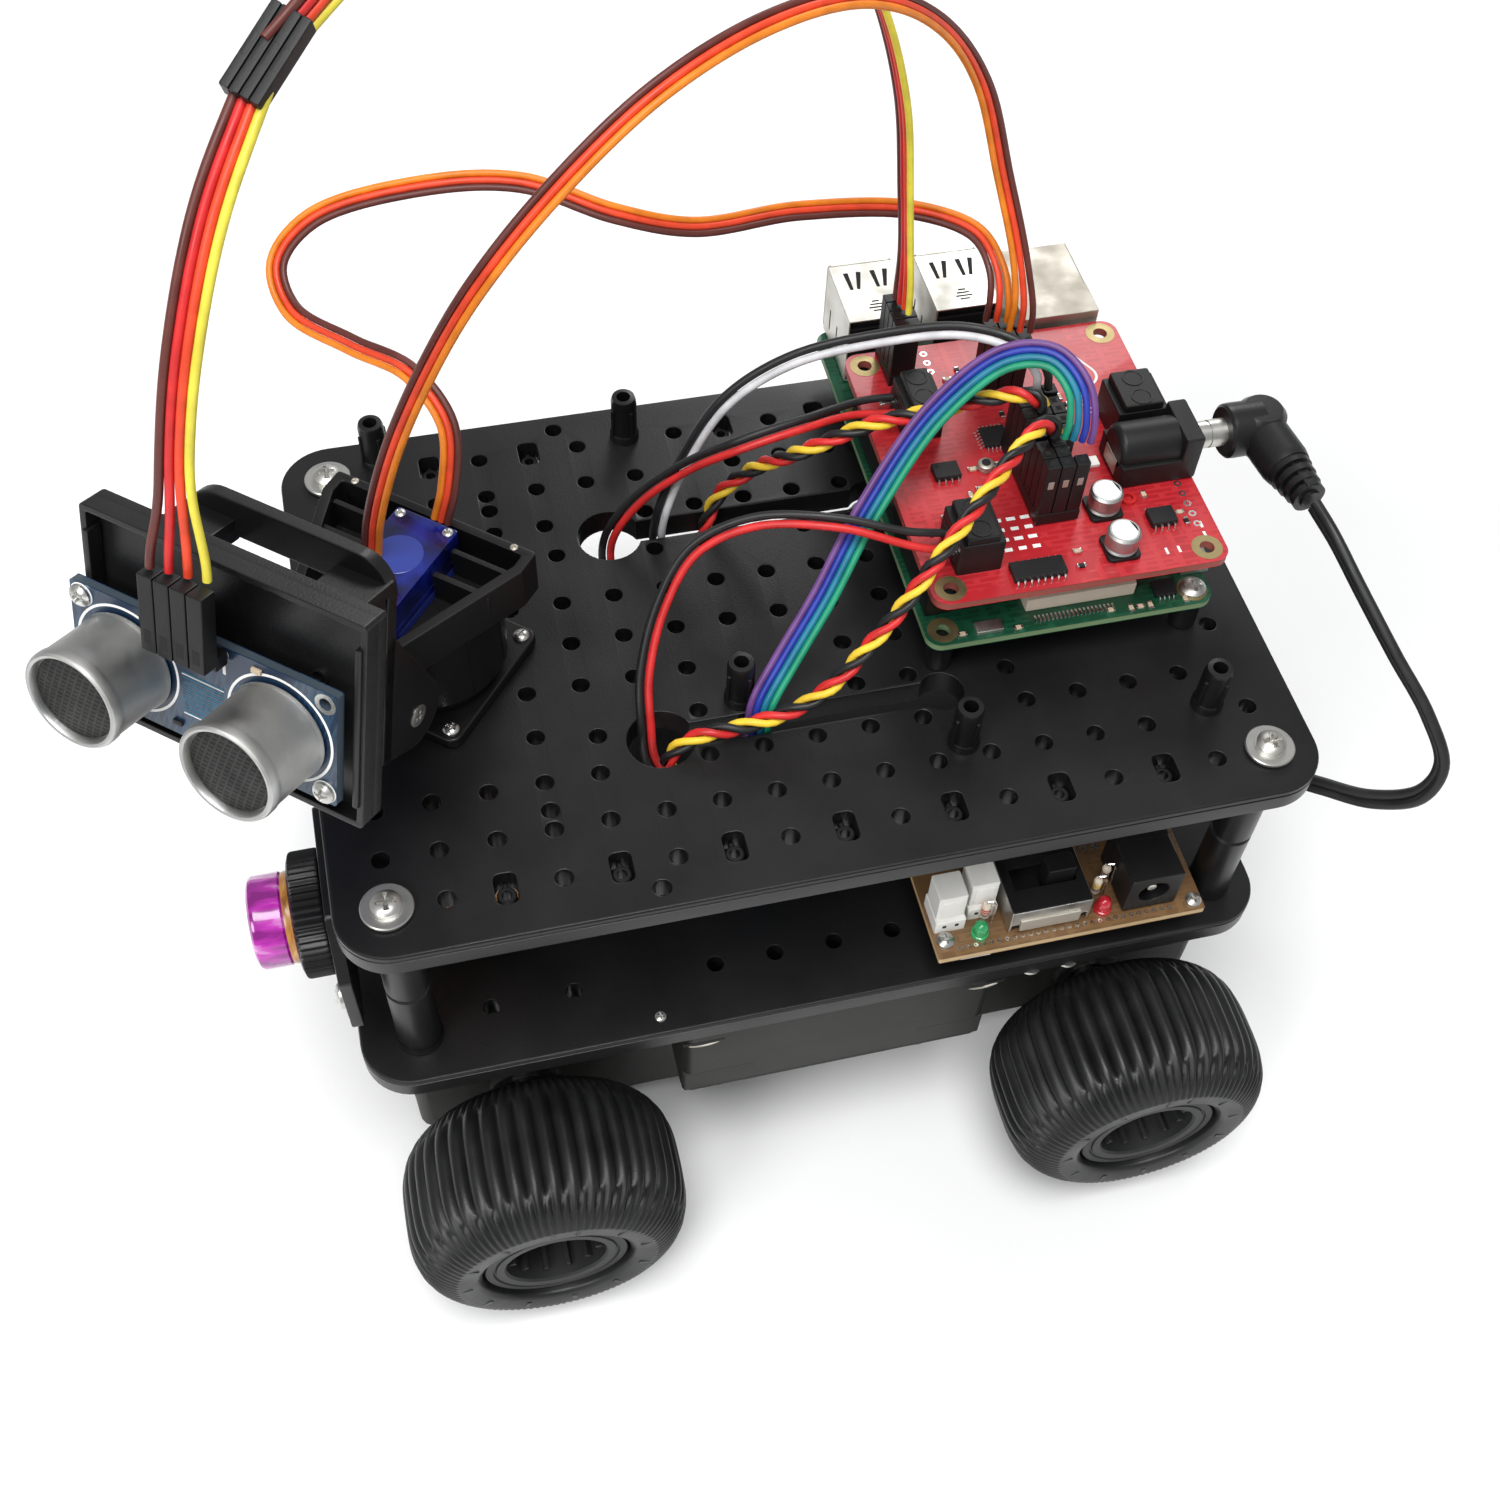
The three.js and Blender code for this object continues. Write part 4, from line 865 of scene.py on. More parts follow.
def add_decks():
    holes = [ring(x, y, 1.6, 20) for x, y in deck_holes()]
    slots = [(sign * POST_X, y) for sign in SIDES.values() for y in range(-60, 61, 20)]
    slots = [place for place in slots if clear_of_pillars(place)]
    holes += [rect(x - 3, x + 3, y - 1.95, y + 1.95, 1.2) for x, y in slots]
    holes += [keyhole(25), keyhole(-25)]
    corners = [(x, y) for x in (-POST_X, POST_X) for y in (-POST_Y, POST_Y)]
    holes += [ring(x, y, 2) for x, y in corners]
    deck = Piece()
    outline = rect(-DECK_X, DECK_X, -DECK_Y, DECK_Y, 10, 12)
    profile = plate_edge(DECK_BOTTOM, DECK_TOP, 1.1)
    deck.slab(outline, holes, DECK_BOTTOM, DECK_TOP, DECK, profile=profile, hole_soft=0.28)
    for x, y in slots:
        boss = [(0.95, DECK_BOTTOM), (1.75, DECK_BOTTOM), (1.75, 110.4), (1.5, 110.6), (0.95, 110.6)]
        deck.turned(boss, DECK, moved(x, y), 20)
        deck.box(x - 2.9, x - 1.6, y - 0.5, y + 0.5, 107.6, 110, DECK)
        deck.box(x + 1.6, x + 2.9, y - 0.5, y + 0.5, 107.6, 110, DECK)
    for x, y in PILLARS:
        profile = [
            (0, 112.8), (2.98, 112.8), (2.95, 114.4), (2.6, 114.9), (2.55, 123), (2.3, 123.9), (1.4, 124),
            (1.3, 123.6), (1.3, 118), (0, 118),
        ]
        deck.turned(profile, BLACK, moved(x, y), 28)
        for turn in range(4):
            rib = moved(x, y) @ Matrix.Rotation(turn * math.pi / 2 + 0.4, 4, "Z")
            deck.box(2.2, 2.95, -0.35, 0.35, 113, 121.5, BLACK, 0.12, rib)
    deck.make("deck_top", "chassis", ["top_plate"])

    lower = Piece()
    holes = [ring(s * 47, y, 1.6, 20) for s in (1, -1) for y in (-66, -50, -22, -10, 2, 14, 40, 62)]
    holes += [ring(s * 20, y, 1.6, 20) for s in (1, -1) for y in (-70, -44, 34, 50, 70)]
    holes += [rect(s * 25 - 5, s * 25 + 5, -28, 0, 1.5) for s in (1, -1)]
    outline = rect(-DECK_X, DECK_X, -DECK_Y - 2, DECK_Y, 10, 12)
    profile = plate_edge(LOWER_BOTTOM, LOWER_TOP, 0.7)
    lower.slab(outline, holes, LOWER_BOTTOM, LOWER_TOP, DECK, profile=profile, hole_soft=0.28)
    lower.screw((56, -34.8, LOWER_TOP - 0.05), (0, 0, 1), 1.1, 0.7)
    for x, y in ((58, 40.3), (58, 48.1)):
        lower.screw((x, y, LOWER_BOTTOM + 0.05), (0.3, 0, -1), 2.1, 1.1)
    lower.make("deck_lower", "chassis", ["lower_plate"])

    for side, sign in SIDES.items():
        for end, y in (("front", -POST_Y), ("rear", POST_Y)):
            post = Piece()
            at = moved(sign * POST_X, y)
            profile = [(0, 65.8), (4.4, 65.8), (4.4, 67.6), (4.15, 68), (4.05, 85.9), (3.7, 86.4)]
            profile += [(3.7, 86.8), (4.05, 87.3), (3.85, 105.4), (4.2, 105.8), (4.2, 107.2), (0, 107.2)]
            post.turned(profile, BLACK, at, 36)
            post.turned([(1.6, 113.3), (4.45, 113.3), (4.6, 113.5), (4.6, 114), (4.4, 114.2), (1.6, 114.2)],
                        STEEL, at, 48)
            post.turned([(1.6, 114.1), (2.95, 114.1), (2.95, 114.45), (1.6, 114.5)], STEEL, at, 40)
            post.screw((sign * POST_X, y, 114.4), (0, 0, 1), 2.7, 1.75)
            post.make(f"post_{end}_{side}_detail", "chassis", [f"post_{end}_{side}"])


# Tub and drive

def add_tub():
    tub = Piece()
    top, wall = 59.7, 2.4
    bay, front, rear, floor = 58.6, -31, 33, 34
    cross = [(46, -85), (46, front), (bay, front), (bay, rear), (46, rear), (46, 88)]
    cross += [(-x, y) for x, y in reversed(cross)]
    inner = [(43.6, -82.6), (43.6, front + wall), (56.2, front + wall), (56.2, rear - wall),
             (43.6, rear - wall), (43.6, 85.6)]
    inner += [(-x, y) for x, y in reversed(inner)]
    tub.slab(rounded(cross, 2.2), [rounded(inner, 1.2)], floor + 8, top, TUB, 0.4)
    lower = rect(-46, 46, -85, 88, 3)
    tub.slab(lower, [rect(-43.6, 43.6, -82.6, 85.6, 2)], 15, floor + 8.2, TUB, 0.3)
    tub.slab(lower, [], 14, 16.5, TUB, 1.2, steps=4)
    for sign in SIDES.values():
        low, high = sorted((sign * 44, sign * bay))
        tub.slab(rect(low, high, front, rear, 2.2), [], floor, floor + wall, TUB, 0.9, steps=4)
        tub.box(*sorted((sign * 56.2, sign * bay)), front + 0.3, rear - 0.3, floor + 1, floor + 8.4, TUB,
                0.3)
        for y in (front + 1.2, rear - 1.2):
            tub.box(*sorted((sign * 44, sign * 58.2)), y - 1.15, y + 1.15, floor + 1, floor + 8.4, TUB, 0.3)
        for y, z in ((-27.5, 55.6), (30, 56.6)):
            tub.box(*sorted((sign * 58.4, sign * 58.63)), y - 3.4, y + 5, z, z + 0.9, DARK, 0.05)
            bow = [(sign * (58.5 - 0.02 * k * k), y + 0.8 + k, z - 0.9 + 0.05 * k * k) for k in range(-3,
                                                                                                      4)]
            tub.tube(bow, 0.32, NICKEL, 8)
        for y in (-23, 20):
            dome = [(0, 31.6), (1.6, 31.75), (2.7, 32.4), (3.1, 33.3), (3.1, 34.4), (0, 34.4)]
            tub.turned(dome, BLACK, moved(sign * 55, y), 28)
        tub.box(*sorted((sign * 58.3, sign * 58.62)), -16, 18, 40, 46.5, TUB, 0.14)
        for y in AXLES.values():
            collar = [(4.5, 0), (7.5, 0), (7.2, 1.4), (4.5, 1.4)]
            tub.turned(collar, BLACK, facing((sign, 0, 0), (sign * 46, y, WHEEL_RADIUS)), 32)
    for x in (-36, 36):
        for y in (-74, -25, 27, 77):
            tub.screw((x, y, 14.05), (0, 0, -1), 2.6, 1.3, NICKEL)
    for y in range(-60, 61, 15):
        tub.box(-30, 30, y - 0.8, y + 0.8, 13.6, 14.2, TUB, 0.2)
    tub.make("tub_shell", "chassis", ["lower_tub"])

    dress("battery_tray", BLACK)
    for place in ("front", "middle", "rear"):
        dress(f"battery_cell_{place}", CELL)
    for end in AXLES:
        for side in SIDES:
            dress(f"motor_{end}_{side}", MOTOR)


def tyre_radius(u):
    return WHEEL_RADIUS * (1 - abs(u) ** 3.2) ** (1 / 3.2)


def add_tyre(at, name, body, node):
    """A fat barrel of rubber with cross ribs, which split in two towards each shoulder."""
    tyre = Piece(at)
    edge = 0.87
    rim = [(14.9, -edge * TYRE_HALF + 1.4), (16.2, -edge * TYRE_HALF + 0.3),
           (19.4, -edge * TYRE_HALF + 0.02)]
    steps = 30
    tread = [edge * (2 * k / steps - 1) for k in range(steps + 1)]
    section = rim + [(tyre_radius(u), u * TYRE_HALF) for u in tread] + [(r, -h) for r, h in reversed(rim)]
    deep, notch = 1.35, 0.75
    bead = 20

    def ribbed(angle, radius, height):
        if radius < bead:
            return 0
        u = abs(height) / TYRE_HALF
        split = min(1, max(0, (u - 0.5) / 0.16))
        single = abs(math.cos(RIBS * angle / 2)) ** notch
        double = abs(math.cos(RIBS * angle)) ** notch
        fade = 1 - 0.45 * min(1, max(0, (u - 0.7) / 0.17))
        return -deep * fade * (1 - single * (1 - split) - double * split)

    tyre.turned(section, TYRE, facing((1, 0, 0), (TYRE_MIDDLE, 0, 0)), RIBS * 10, ribbed)
    for k in range(0, RIBS, 4):
        spin = Matrix.Rotation(2 * math.pi * k / RIBS, 4, "X")
        tyre.box(TYRE_MIDDLE + 15.4, TYRE_MIDDLE + 16, -0.5, 0.5, 17, 19.2, TYRE, 0.1, spin)
    tyre.make(name, body, [node], crease=50)


def add_hub(at, name, body, node):
    hub = Piece(at)
    out = facing((1, 0, 0))
    rim = [
        (13.2, 57), (14.4, 57.3), (14.4, 85), (14.1, 85.5), (12.7, 85.6), (12.5, 85.2), (12.2, 85.2),
        (12, 85.6),
        (10.4, 85.5), (10, 85), (9.7, 72), (9.7, 71), (12.4, 71), (12.4, 60),
    ]
    hub.turned(rim, HUB, out, 72)
    hub.turned([(2.5, 55.6), (6, 55.6), (6, 66), (12.6, 66.4), (12.6, 71), (0, 71), (0, 66), (2.5, 66)],
               HUB, out, 48)
    for k in range(12):
        spin = Matrix.Rotation(2 * math.pi * (k + 0.5) / 12, 4, "X")
        hub.box(71, 83.6, -0.45, 0.45, 8.3, 9.95, HUB, 0.15, spin)
    for k in range(6):
        spin = Matrix.Rotation(2 * math.pi * k / 6, 4, "X")
        hub.box(70.8, 72, -0.9, 0.9, 3.2, 9.6, HUB, 0.2, spin)
    hub.turned([(0, 70.9), (4.4, 70.9), (4.4, 72.2), (3.9, 72.6), (0, 72.6)], HUB, out, 32)
    hub.screw((72.4, 0, 0), (1, 0, 0), 3.1, 1.6)
    hub.rod(2.45, (39.2, 0, 0), (66, 0, 0), STEEL)
    hub.box(39.4, 45, -2.1, 2.1, 1.6, 2.2, STEEL, 0.1)
    hub.make(name, body, [node])


def add_wheels():
    for end, y in AXLES.items():
        for side, sign in SIDES.items():
            body = f"wheel_{end}_{side}"
            at = PART @ moved(0, y, WHEEL_RADIUS) @ Matrix.Rotation(0 if sign > 0 else math.pi, 4, "Z")
            add_tyre(at, f"tyre_{end}_{side}_ribbed", body, f"tyre_{end}_{side}")
            add_hub(at, f"hub_{end}_{side}_detail", body, f"hub_{end}_{side}")


# Parts that stand on circuit boards

def add_chip(piece, x, y, z, half_x, half_y, high, pins, lead_sides="x", pitch=1.27):
    piece.box(x - half_x, x + half_x, y - half_y, y + half_y, z + 0.2, z + high, CHIP, 0.14)
    piece.turned([(0, z + high - 0.02), (0.4, z + high - 0.02), (0.35, z + high + 0.03),
                  (0, z + high + 0.03)], DARK,
                 moved(x - half_x + 0.9, y - half_y + 0.9), 12)
    for side in (-1, 1):
        for k in range(pins):
            along = (k - (pins - 1) / 2) * pitch
            path = [(-0.3, 0.55), (0.25, 0.55), (0.45, 0.3), (0.55, 0.07), (1.0, 0.06)]
            for axis in lead_sides:
                half = half_x if axis == "x" else half_y
                out = [(side * (half + a), along, z + h * high) for a, h in path]
                line = [(x + p, y + q, r) if axis == "x" else (x + q, y + p, r) for p, q, r in out]
                piece.tube(line, 0.2 if pitch > 1 else 0.13, SOLDER, 6)


def add_passive(piece, x, y, z, turned=False, body=TAN, size=1.0):
    """A two-terminal surface part with bright end caps."""
    a, b, high = 0.8 * size, 0.42 * size, 0.5 * size
    if turned:
        a, b = b, a
    piece.box(x - a, x + a, y - b, y + b, z, z + high, body, 0.08)
    for side in (-1, 1):
        if turned:
            low, high_y = sorted((y + side * b * 0.62, y + side * (b + 0.08)))
            piece.box(x - a - 0.04, x + a + 0.04, low, high_y, z, z + high + 0.04, SOLDER, 0.06)
        else:
            low, high_x = sorted((x + side * a * 0.62, x + side * (a + 0.08)))
            piece.box(low, high_x, y - b - 0.04, y + b + 0.04, z, z + high + 0.04, SOLDER, 0.06)


def add_pads(piece, places, z, radius=0.75, hole=0.38):
    for x, y in places:
        profile = band(hole, radius, z - 0.02, z + 0.05)
        piece.turned(profile, SOLDER, moved(x, y), 14)


def add_marks(piece, places, z, long, wide, finish=None):
    """Plain printed bars, with no lettering."""
    for x, y in places:
        piece.box(x - long / 2, x + long / 2, y - wide / 2, y + wide / 2, z - 0.02, z + 0.045,
                  finish or SILK, 0.01)


def add_capacitor(piece, x, y, z, radius, high):
    piece.slab(rounded(band(-radius, radius, -radius, radius), 1.0), [],
               z, z + 0.9, BLACK, 0.2, moved(x, y))
    can = [(0, z + 0.8), (radius - 0.35, z + 0.8), (radius - 0.1, z + 1.3), (radius - 0.35, z + 1.7),
           (radius - 0.12, z + 2.1)]
    can += [(radius - 0.12, high - 0.4), (radius - 0.5, high), (0, high)]
    piece.turned(can, CAN, moved(x, y), 40)
    piece.turned([(0, high - 0.1), (radius - 0.75, high - 0.1), (radius - 0.8, high + 0.05),
                  (0, high + 0.05)], LID,
                 moved(x, y), 36)
    half = arc(0, 0, radius - 0.8, 70, 140, 10)
    piece.slab(half, [], high, high + 0.09, BLACK, 0.02, moved(x, y))


def add_terminal(piece, x0, x1, y0, y1, z, high, mouth):
    """A two-way screw terminal. mouth is the side its wires go in, -1 the front and 1 the rear."""
    piece.box(x0, x1, y0, y1, z - 0.3, high - 1.6, HOUSING, 0.3)
    piece.box(x0 + 0.2, x1 - 0.2, y0 + 1.1, y1 - 1.1, high - 2, high, HOUSING, 0.4)
    width = (x1 - x0) / 2
    for k in range(2):
        x = x0 + width * (k + 0.5)
        y = (y0 + y1) / 2
        well = [(1.5, high - 0.5), (2.1, high - 0.5), (2.1, high + 0.12), (1.7, high + 0.12),
                (1.5, high - 0.1)]
        piece.turned(well, HOUSING, moved(x, y), 28)
        piece.screw((x, y, high - 0.45), (0, 0, 1), 1.5, 0.45, NICKEL, 28)
        edge = y0 if mouth < 0 else y1
        low, up = sorted((edge - mouth * 0.2, edge + mouth * 0.12))
        frame_hole = rect(-1.4, 1.4, -1.3, 1.3, 0.4)
        piece.slab(rect(-width / 2 + 0.2, width / 2 - 0.2, -2.1, 2.1, 0.4), [frame_hole], -up, -low,
                   HOUSING, 0.05, moved(x, 0, z + 3.2) @ FRONT)
        piece.box(x - 1.35, x + 1.35, low - 0.02, up + 0.02, z + 2, z + 4.4, DARK, 0.05)


def add_board(piece, x0, x1, y0, y1, z0, z1, mask, holes, edge=BOARD_EDGE, corner=3.0):
    """A circuit board: the bare core with a thin masked skin on both faces and a gold ring at each hole."""
    rings = [ring(x, y, 1.4, 24) for x, y in holes]
    outline = rect(x0, x1, y0, y1, corner, 8)
    piece.slab(moved_in(outline, 0.05), rings, z0 + 0.12, z1 - 0.12, edge, 0)
    for low, high in ((z0, z0 + 0.14), (z1 - 0.14, z1)):
        piece.slab(outline, rings, low, high, mask, 0.04)
    for x, y in holes:
        for low, high in ((z0 - 0.04, z0 + 0.02), (z1 - 0.02, z1 + 0.05)):
            piece.turned(band(1.4, 2.9, low, high), GOLD, moved(x, y), 32)


JACK_X = -4.1
BOARD_HOLES = [(18, 26.2), (18, 75.2), (-40, 26.2), (-40, 75.2)]


def add_computer():
    board = Piece()
    add_board(board, -63.5, 21.5, 22.7, 78.7, 120.5, BOARD_TOP, GREEN_BOARD, BOARD_HOLES,
              edge_of("green_edge", (0.16, 0.24, 0.12)))
    for x, y in BOARD_HOLES:
        board.rod(2.6, (x, y, 113.3), (x, y, 120.4), BLACK, 28)
    board.screw((18, 75.2, BOARD_TOP + 0.05), (0, 0, 1), 2.5, 1.5)
    z = BOARD_TOP
    # Along the near edge: a ribbon connector, a row of solder pins and small parts
    board.box(12.6, 17, 42.5, 64, z, z + 3.2, CREAM, 0.25)
    board.box(13, 14.2, 43.5, 63, z + 3, z + 3.9, BLACK, 0.2)
    for k in range(20):
        y = 43.6 + 0.8 * k
        board.box(18.3, 19.9, y, y + 0.42, z, z + 0.3, SOLDER, 0.08)
    board.box(18, 20.6, 32, 37.2, z, z + 0.9, TIN, 0.15)
    add_chip(board, 17.2, 69.6, z, 1.8, 2.1, 1.1, 4, "x", 0.9)
    for k, (x, y) in enumerate([(20.4, 40), (20.3, 62.2), (20.2, 64), (20.3, 66), (19.8, 29.4), (20.2, 73),
                                (19.9, 58.2)]):
        add_passive(board, x, y, z, k % 2 == 0)
    # The middle: processor under a lid, memory and controller chips
    board.box(-21, -7, 40, 54, z, z + 1.1, CHIP, 0.2)
    board.box(-19.5, -8.5, 41.5, 52.5, z + 1, z + 2.2, TIN, 0.35)
    add_chip(board, -35, 42, z, 4.5, 4.5, 1.0, 14, "xy", 0.55)
    add_chip(board, -2, 62, z, 5, 6, 1.1, 12, "x", 0.8)
    add_chip(board, -32, 60, z, 2.4, 2.9, 1.0, 8, "y", 0.6)
    scatter = random.Random(7)
    for k in range(46):
        x, y = scatter.uniform(-60, 9), scatter.uniform(31, 66)
        if not (-24 < x < -4 and 38 < y < 56) and not (x < -44) and not (-40 < x < -28 and 36 < y < 64):
            add_passive(board, x, y, z, k % 2 == 0, TAN if k % 3 else CHIP, scatter.uniform(0.7, 1.2))
    # The rear edge: display, supply and sound sockets
    board.box(-18.5, -3.5, 68.5, 80, z, z + 6, TIN, 0.4)
    mouth = rounded([(-15.5, 0.9), (-6.5, 0.9), (-5.2, 2.4), (-5.2, 4.9), (-16.8, 4.9), (-16.8, 2.4)], 0.5)
    board.slab(mouth, [], -80.08, -79.5, DARK, 0.02, moved(0, 0, z) @ FRONT)
    board.box(7, 14.6, 74, 79.8, z, z + 2.8, TIN, 0.35)
    board.box(7.9, 13.7, 79.5, 79.87, z + 0.7, z + 2.2, DARK, 0.05)
    board.box(-36, -29.4, 66.5, 79, z, z + 5.8, HOUSING, 0.3)
    board.turned([(1.75, 0), (2.7, 0), (2.7, 2.3), (2.5, 2.5), (1.75, 2.5)], HOUSING,
                 facing((0, 1, 0), (-32.7, 78.9, z + 2.9)), 32)
    board.make("computer_board_detail", "chassis", ["computer_board"])

    for place, y in (("front", 31.7), ("rear", 49.7)):
        add_usb(place, y)
    add_network_socket()
    header = Piece()
    header.box(-36.5, 14.5, 23.7, 28.7, BOARD_TOP + 0.3, 130.6, HOUSING, 0.25)
    for k in range(20):
        for y in (24.93, 27.47):
            x = -35.13 + 2.54 * k
            header.box(x - 0.32, x + 0.32, y - 0.32, y + 0.32, 130.3, 131.9, GOLD, 0.1)
            header.box(x + 0.95, x + 1.6, y - 1.3, y + 1.3, 130.4, 130.66, DARK, 0.05)
    header.make("stacking_header_detail", "chassis", ["stacking_header"])


def add_usb(place, y):
    """A double-deck socket shell, open to the right, with its spring tongues cut in the top and sides."""
    usb = Piece()
    base, top = BOARD_TOP + 0.3, BOARD_TOP + 15.9
    left, right = -65.4, -48.2
    low, high = y - 6.7, y + 6.7
    skin = 0.35
    usb.box(left + 0.6, right, low, high, top - skin, top, TIN, 0.15)
    usb.box(left + 0.6, right, low, low + skin, base, top - 0.1, TIN, 0.12)
    usb.box(left + 0.6, right, high - skin, high, base, top - 0.1, TIN, 0.12)
    usb.box(left + 0.6, right, low, high, base, base + skin, TIN, 0.1)
    usb.box(right - 1.4, right - 0.1, low + 0.5, high - 0.5, base, top - 2.2, HOUSING, 0.2)
    usb.box(left + 1, right - 1.2, low + skin, high - skin, base + 6.6, base + 8.4, TIN, 0.15)
    usb.box(-56.5, right - 1.2, low + skin, high - skin, base + 0.4, top - 0.5, DARK, 0.1)
    for floor in (base + 1.0, base + 8.9):
        usb.box(left + 2, -56, y - 5.6, y + 5.6, floor + 2.6, floor + 4.4, WHITE, 0.2)
        for k in range(4):
            usb.box(left + 2.6, -56.5, y - 4 + 2.2 * k, y - 3 + 2.2 * k, floor + 2.5, floor + 2.66, GOLD,
                    0.04)
    outer = rect(low, high, base, top, 0.8)
    mouths = [rect(low + 0.5, high - 0.5, base + 0.6, base + 6.6, 0.5),
              rect(low + 0.5, high - 0.5, base + 8.4, top - 0.6, 0.5)]
    flip = [[(a, -b) for a, b in loop] for loop in (outer, *mouths)]
    usb.slab(flip[0], flip[1:], -left - 0.5, -left + 0.1, TIN, 0.08, RIGHT)
    # Tongues in the top: a dark cut round each, the tongue pressed a little down
    for offset in (-4.1, -1.4, 1.4, 4.1):
        lean = 0.55 * (1 if offset in (-1.4, 4.1) else -0.1)
        run, slant = 5, -lean * 2.2
        long = math.hypot(run, slant)
        turn = moved(-62.4, y + offset + 0.3) @ Matrix.Rotation(math.atan2(slant, run), 4, "Z")
        usb.slab(rounded([(0, -0.5), (long, -0.34), (long, 0.34), (0, 0.5)], 0.15), [],
                 top - 0.05, top + 0.03, DARK, 0.01, turn)
    for k, wide in enumerate((1.5, 2.6, 3.4, 2.0)):
        usb.box(-53.6 + 0.9 * k, -53.2 + 0.9 * k, y - wide / 2, y + wide / 2, top - 0.05, top + 0.02, DARK,
                0.01)
    for side in (low - 0.02, high - 0.01):
        for x in (-61, -56):
            usb.box(x, x + 0.6, side, side + 0.03, base + 3, base + 8, DARK, 0.01)
    usb.make(f"usb_socket_{place}_shell", "chassis", [f"usb_socket_{place}"])


def add_network_socket():
    net = Piece()
    base, top = BOARD_TOP + 0.3, BOARD_TOP + 13.7
    left, right, low, high = -65.5, -44.6, 60.4, 76.4
    mouth = [(62.6, -base - 1.6), (74.4, -base - 1.6), (74.4, -base - 8.2), (71.6, -base - 8.2),
             (71.6, -base - 10),
             (65.4, -base - 10), (65.4, -base - 8.2), (62.6, -base - 8.2)]
    outer = rect(low, high, -top, -base, 0.5)
    net.slab(outer, [rounded(mouth, 0.3)], 53, -left, NICKEL, 0.12, RIGHT)
    net.box(-53.2, right, low, high, base, top, NICKEL, 0.25)
    net.box(-54, -53.15, 62.8, 74.2, base + 1.8, base + 9.6, DARK, 0.05)
    for k in range(8):
        y = 64.9 + 1.02 * k
        net.tube([(-54, y, base + 7.6), (-58, y, base + 6.9), (-61.5, y, base + 4.4),
                  (-58.5, y, base + 3.6)], 0.2, GOLD, 6)
    for y, lamp in ((63.6, GREEN_LED), (73.4, AMBER)):
        net.box(left - 0.02, left + 0.5, y - 1.3, y + 1.3, base + 10.4, base + 12.4, lamp, 0.15)
    net.box(right - 0.05, right + 0.03, low + 1, high - 1, base + 0.4, base + 2.6, DARK, 0.01)
    net.make("network_socket_shell", "chassis", ["network_socket"])


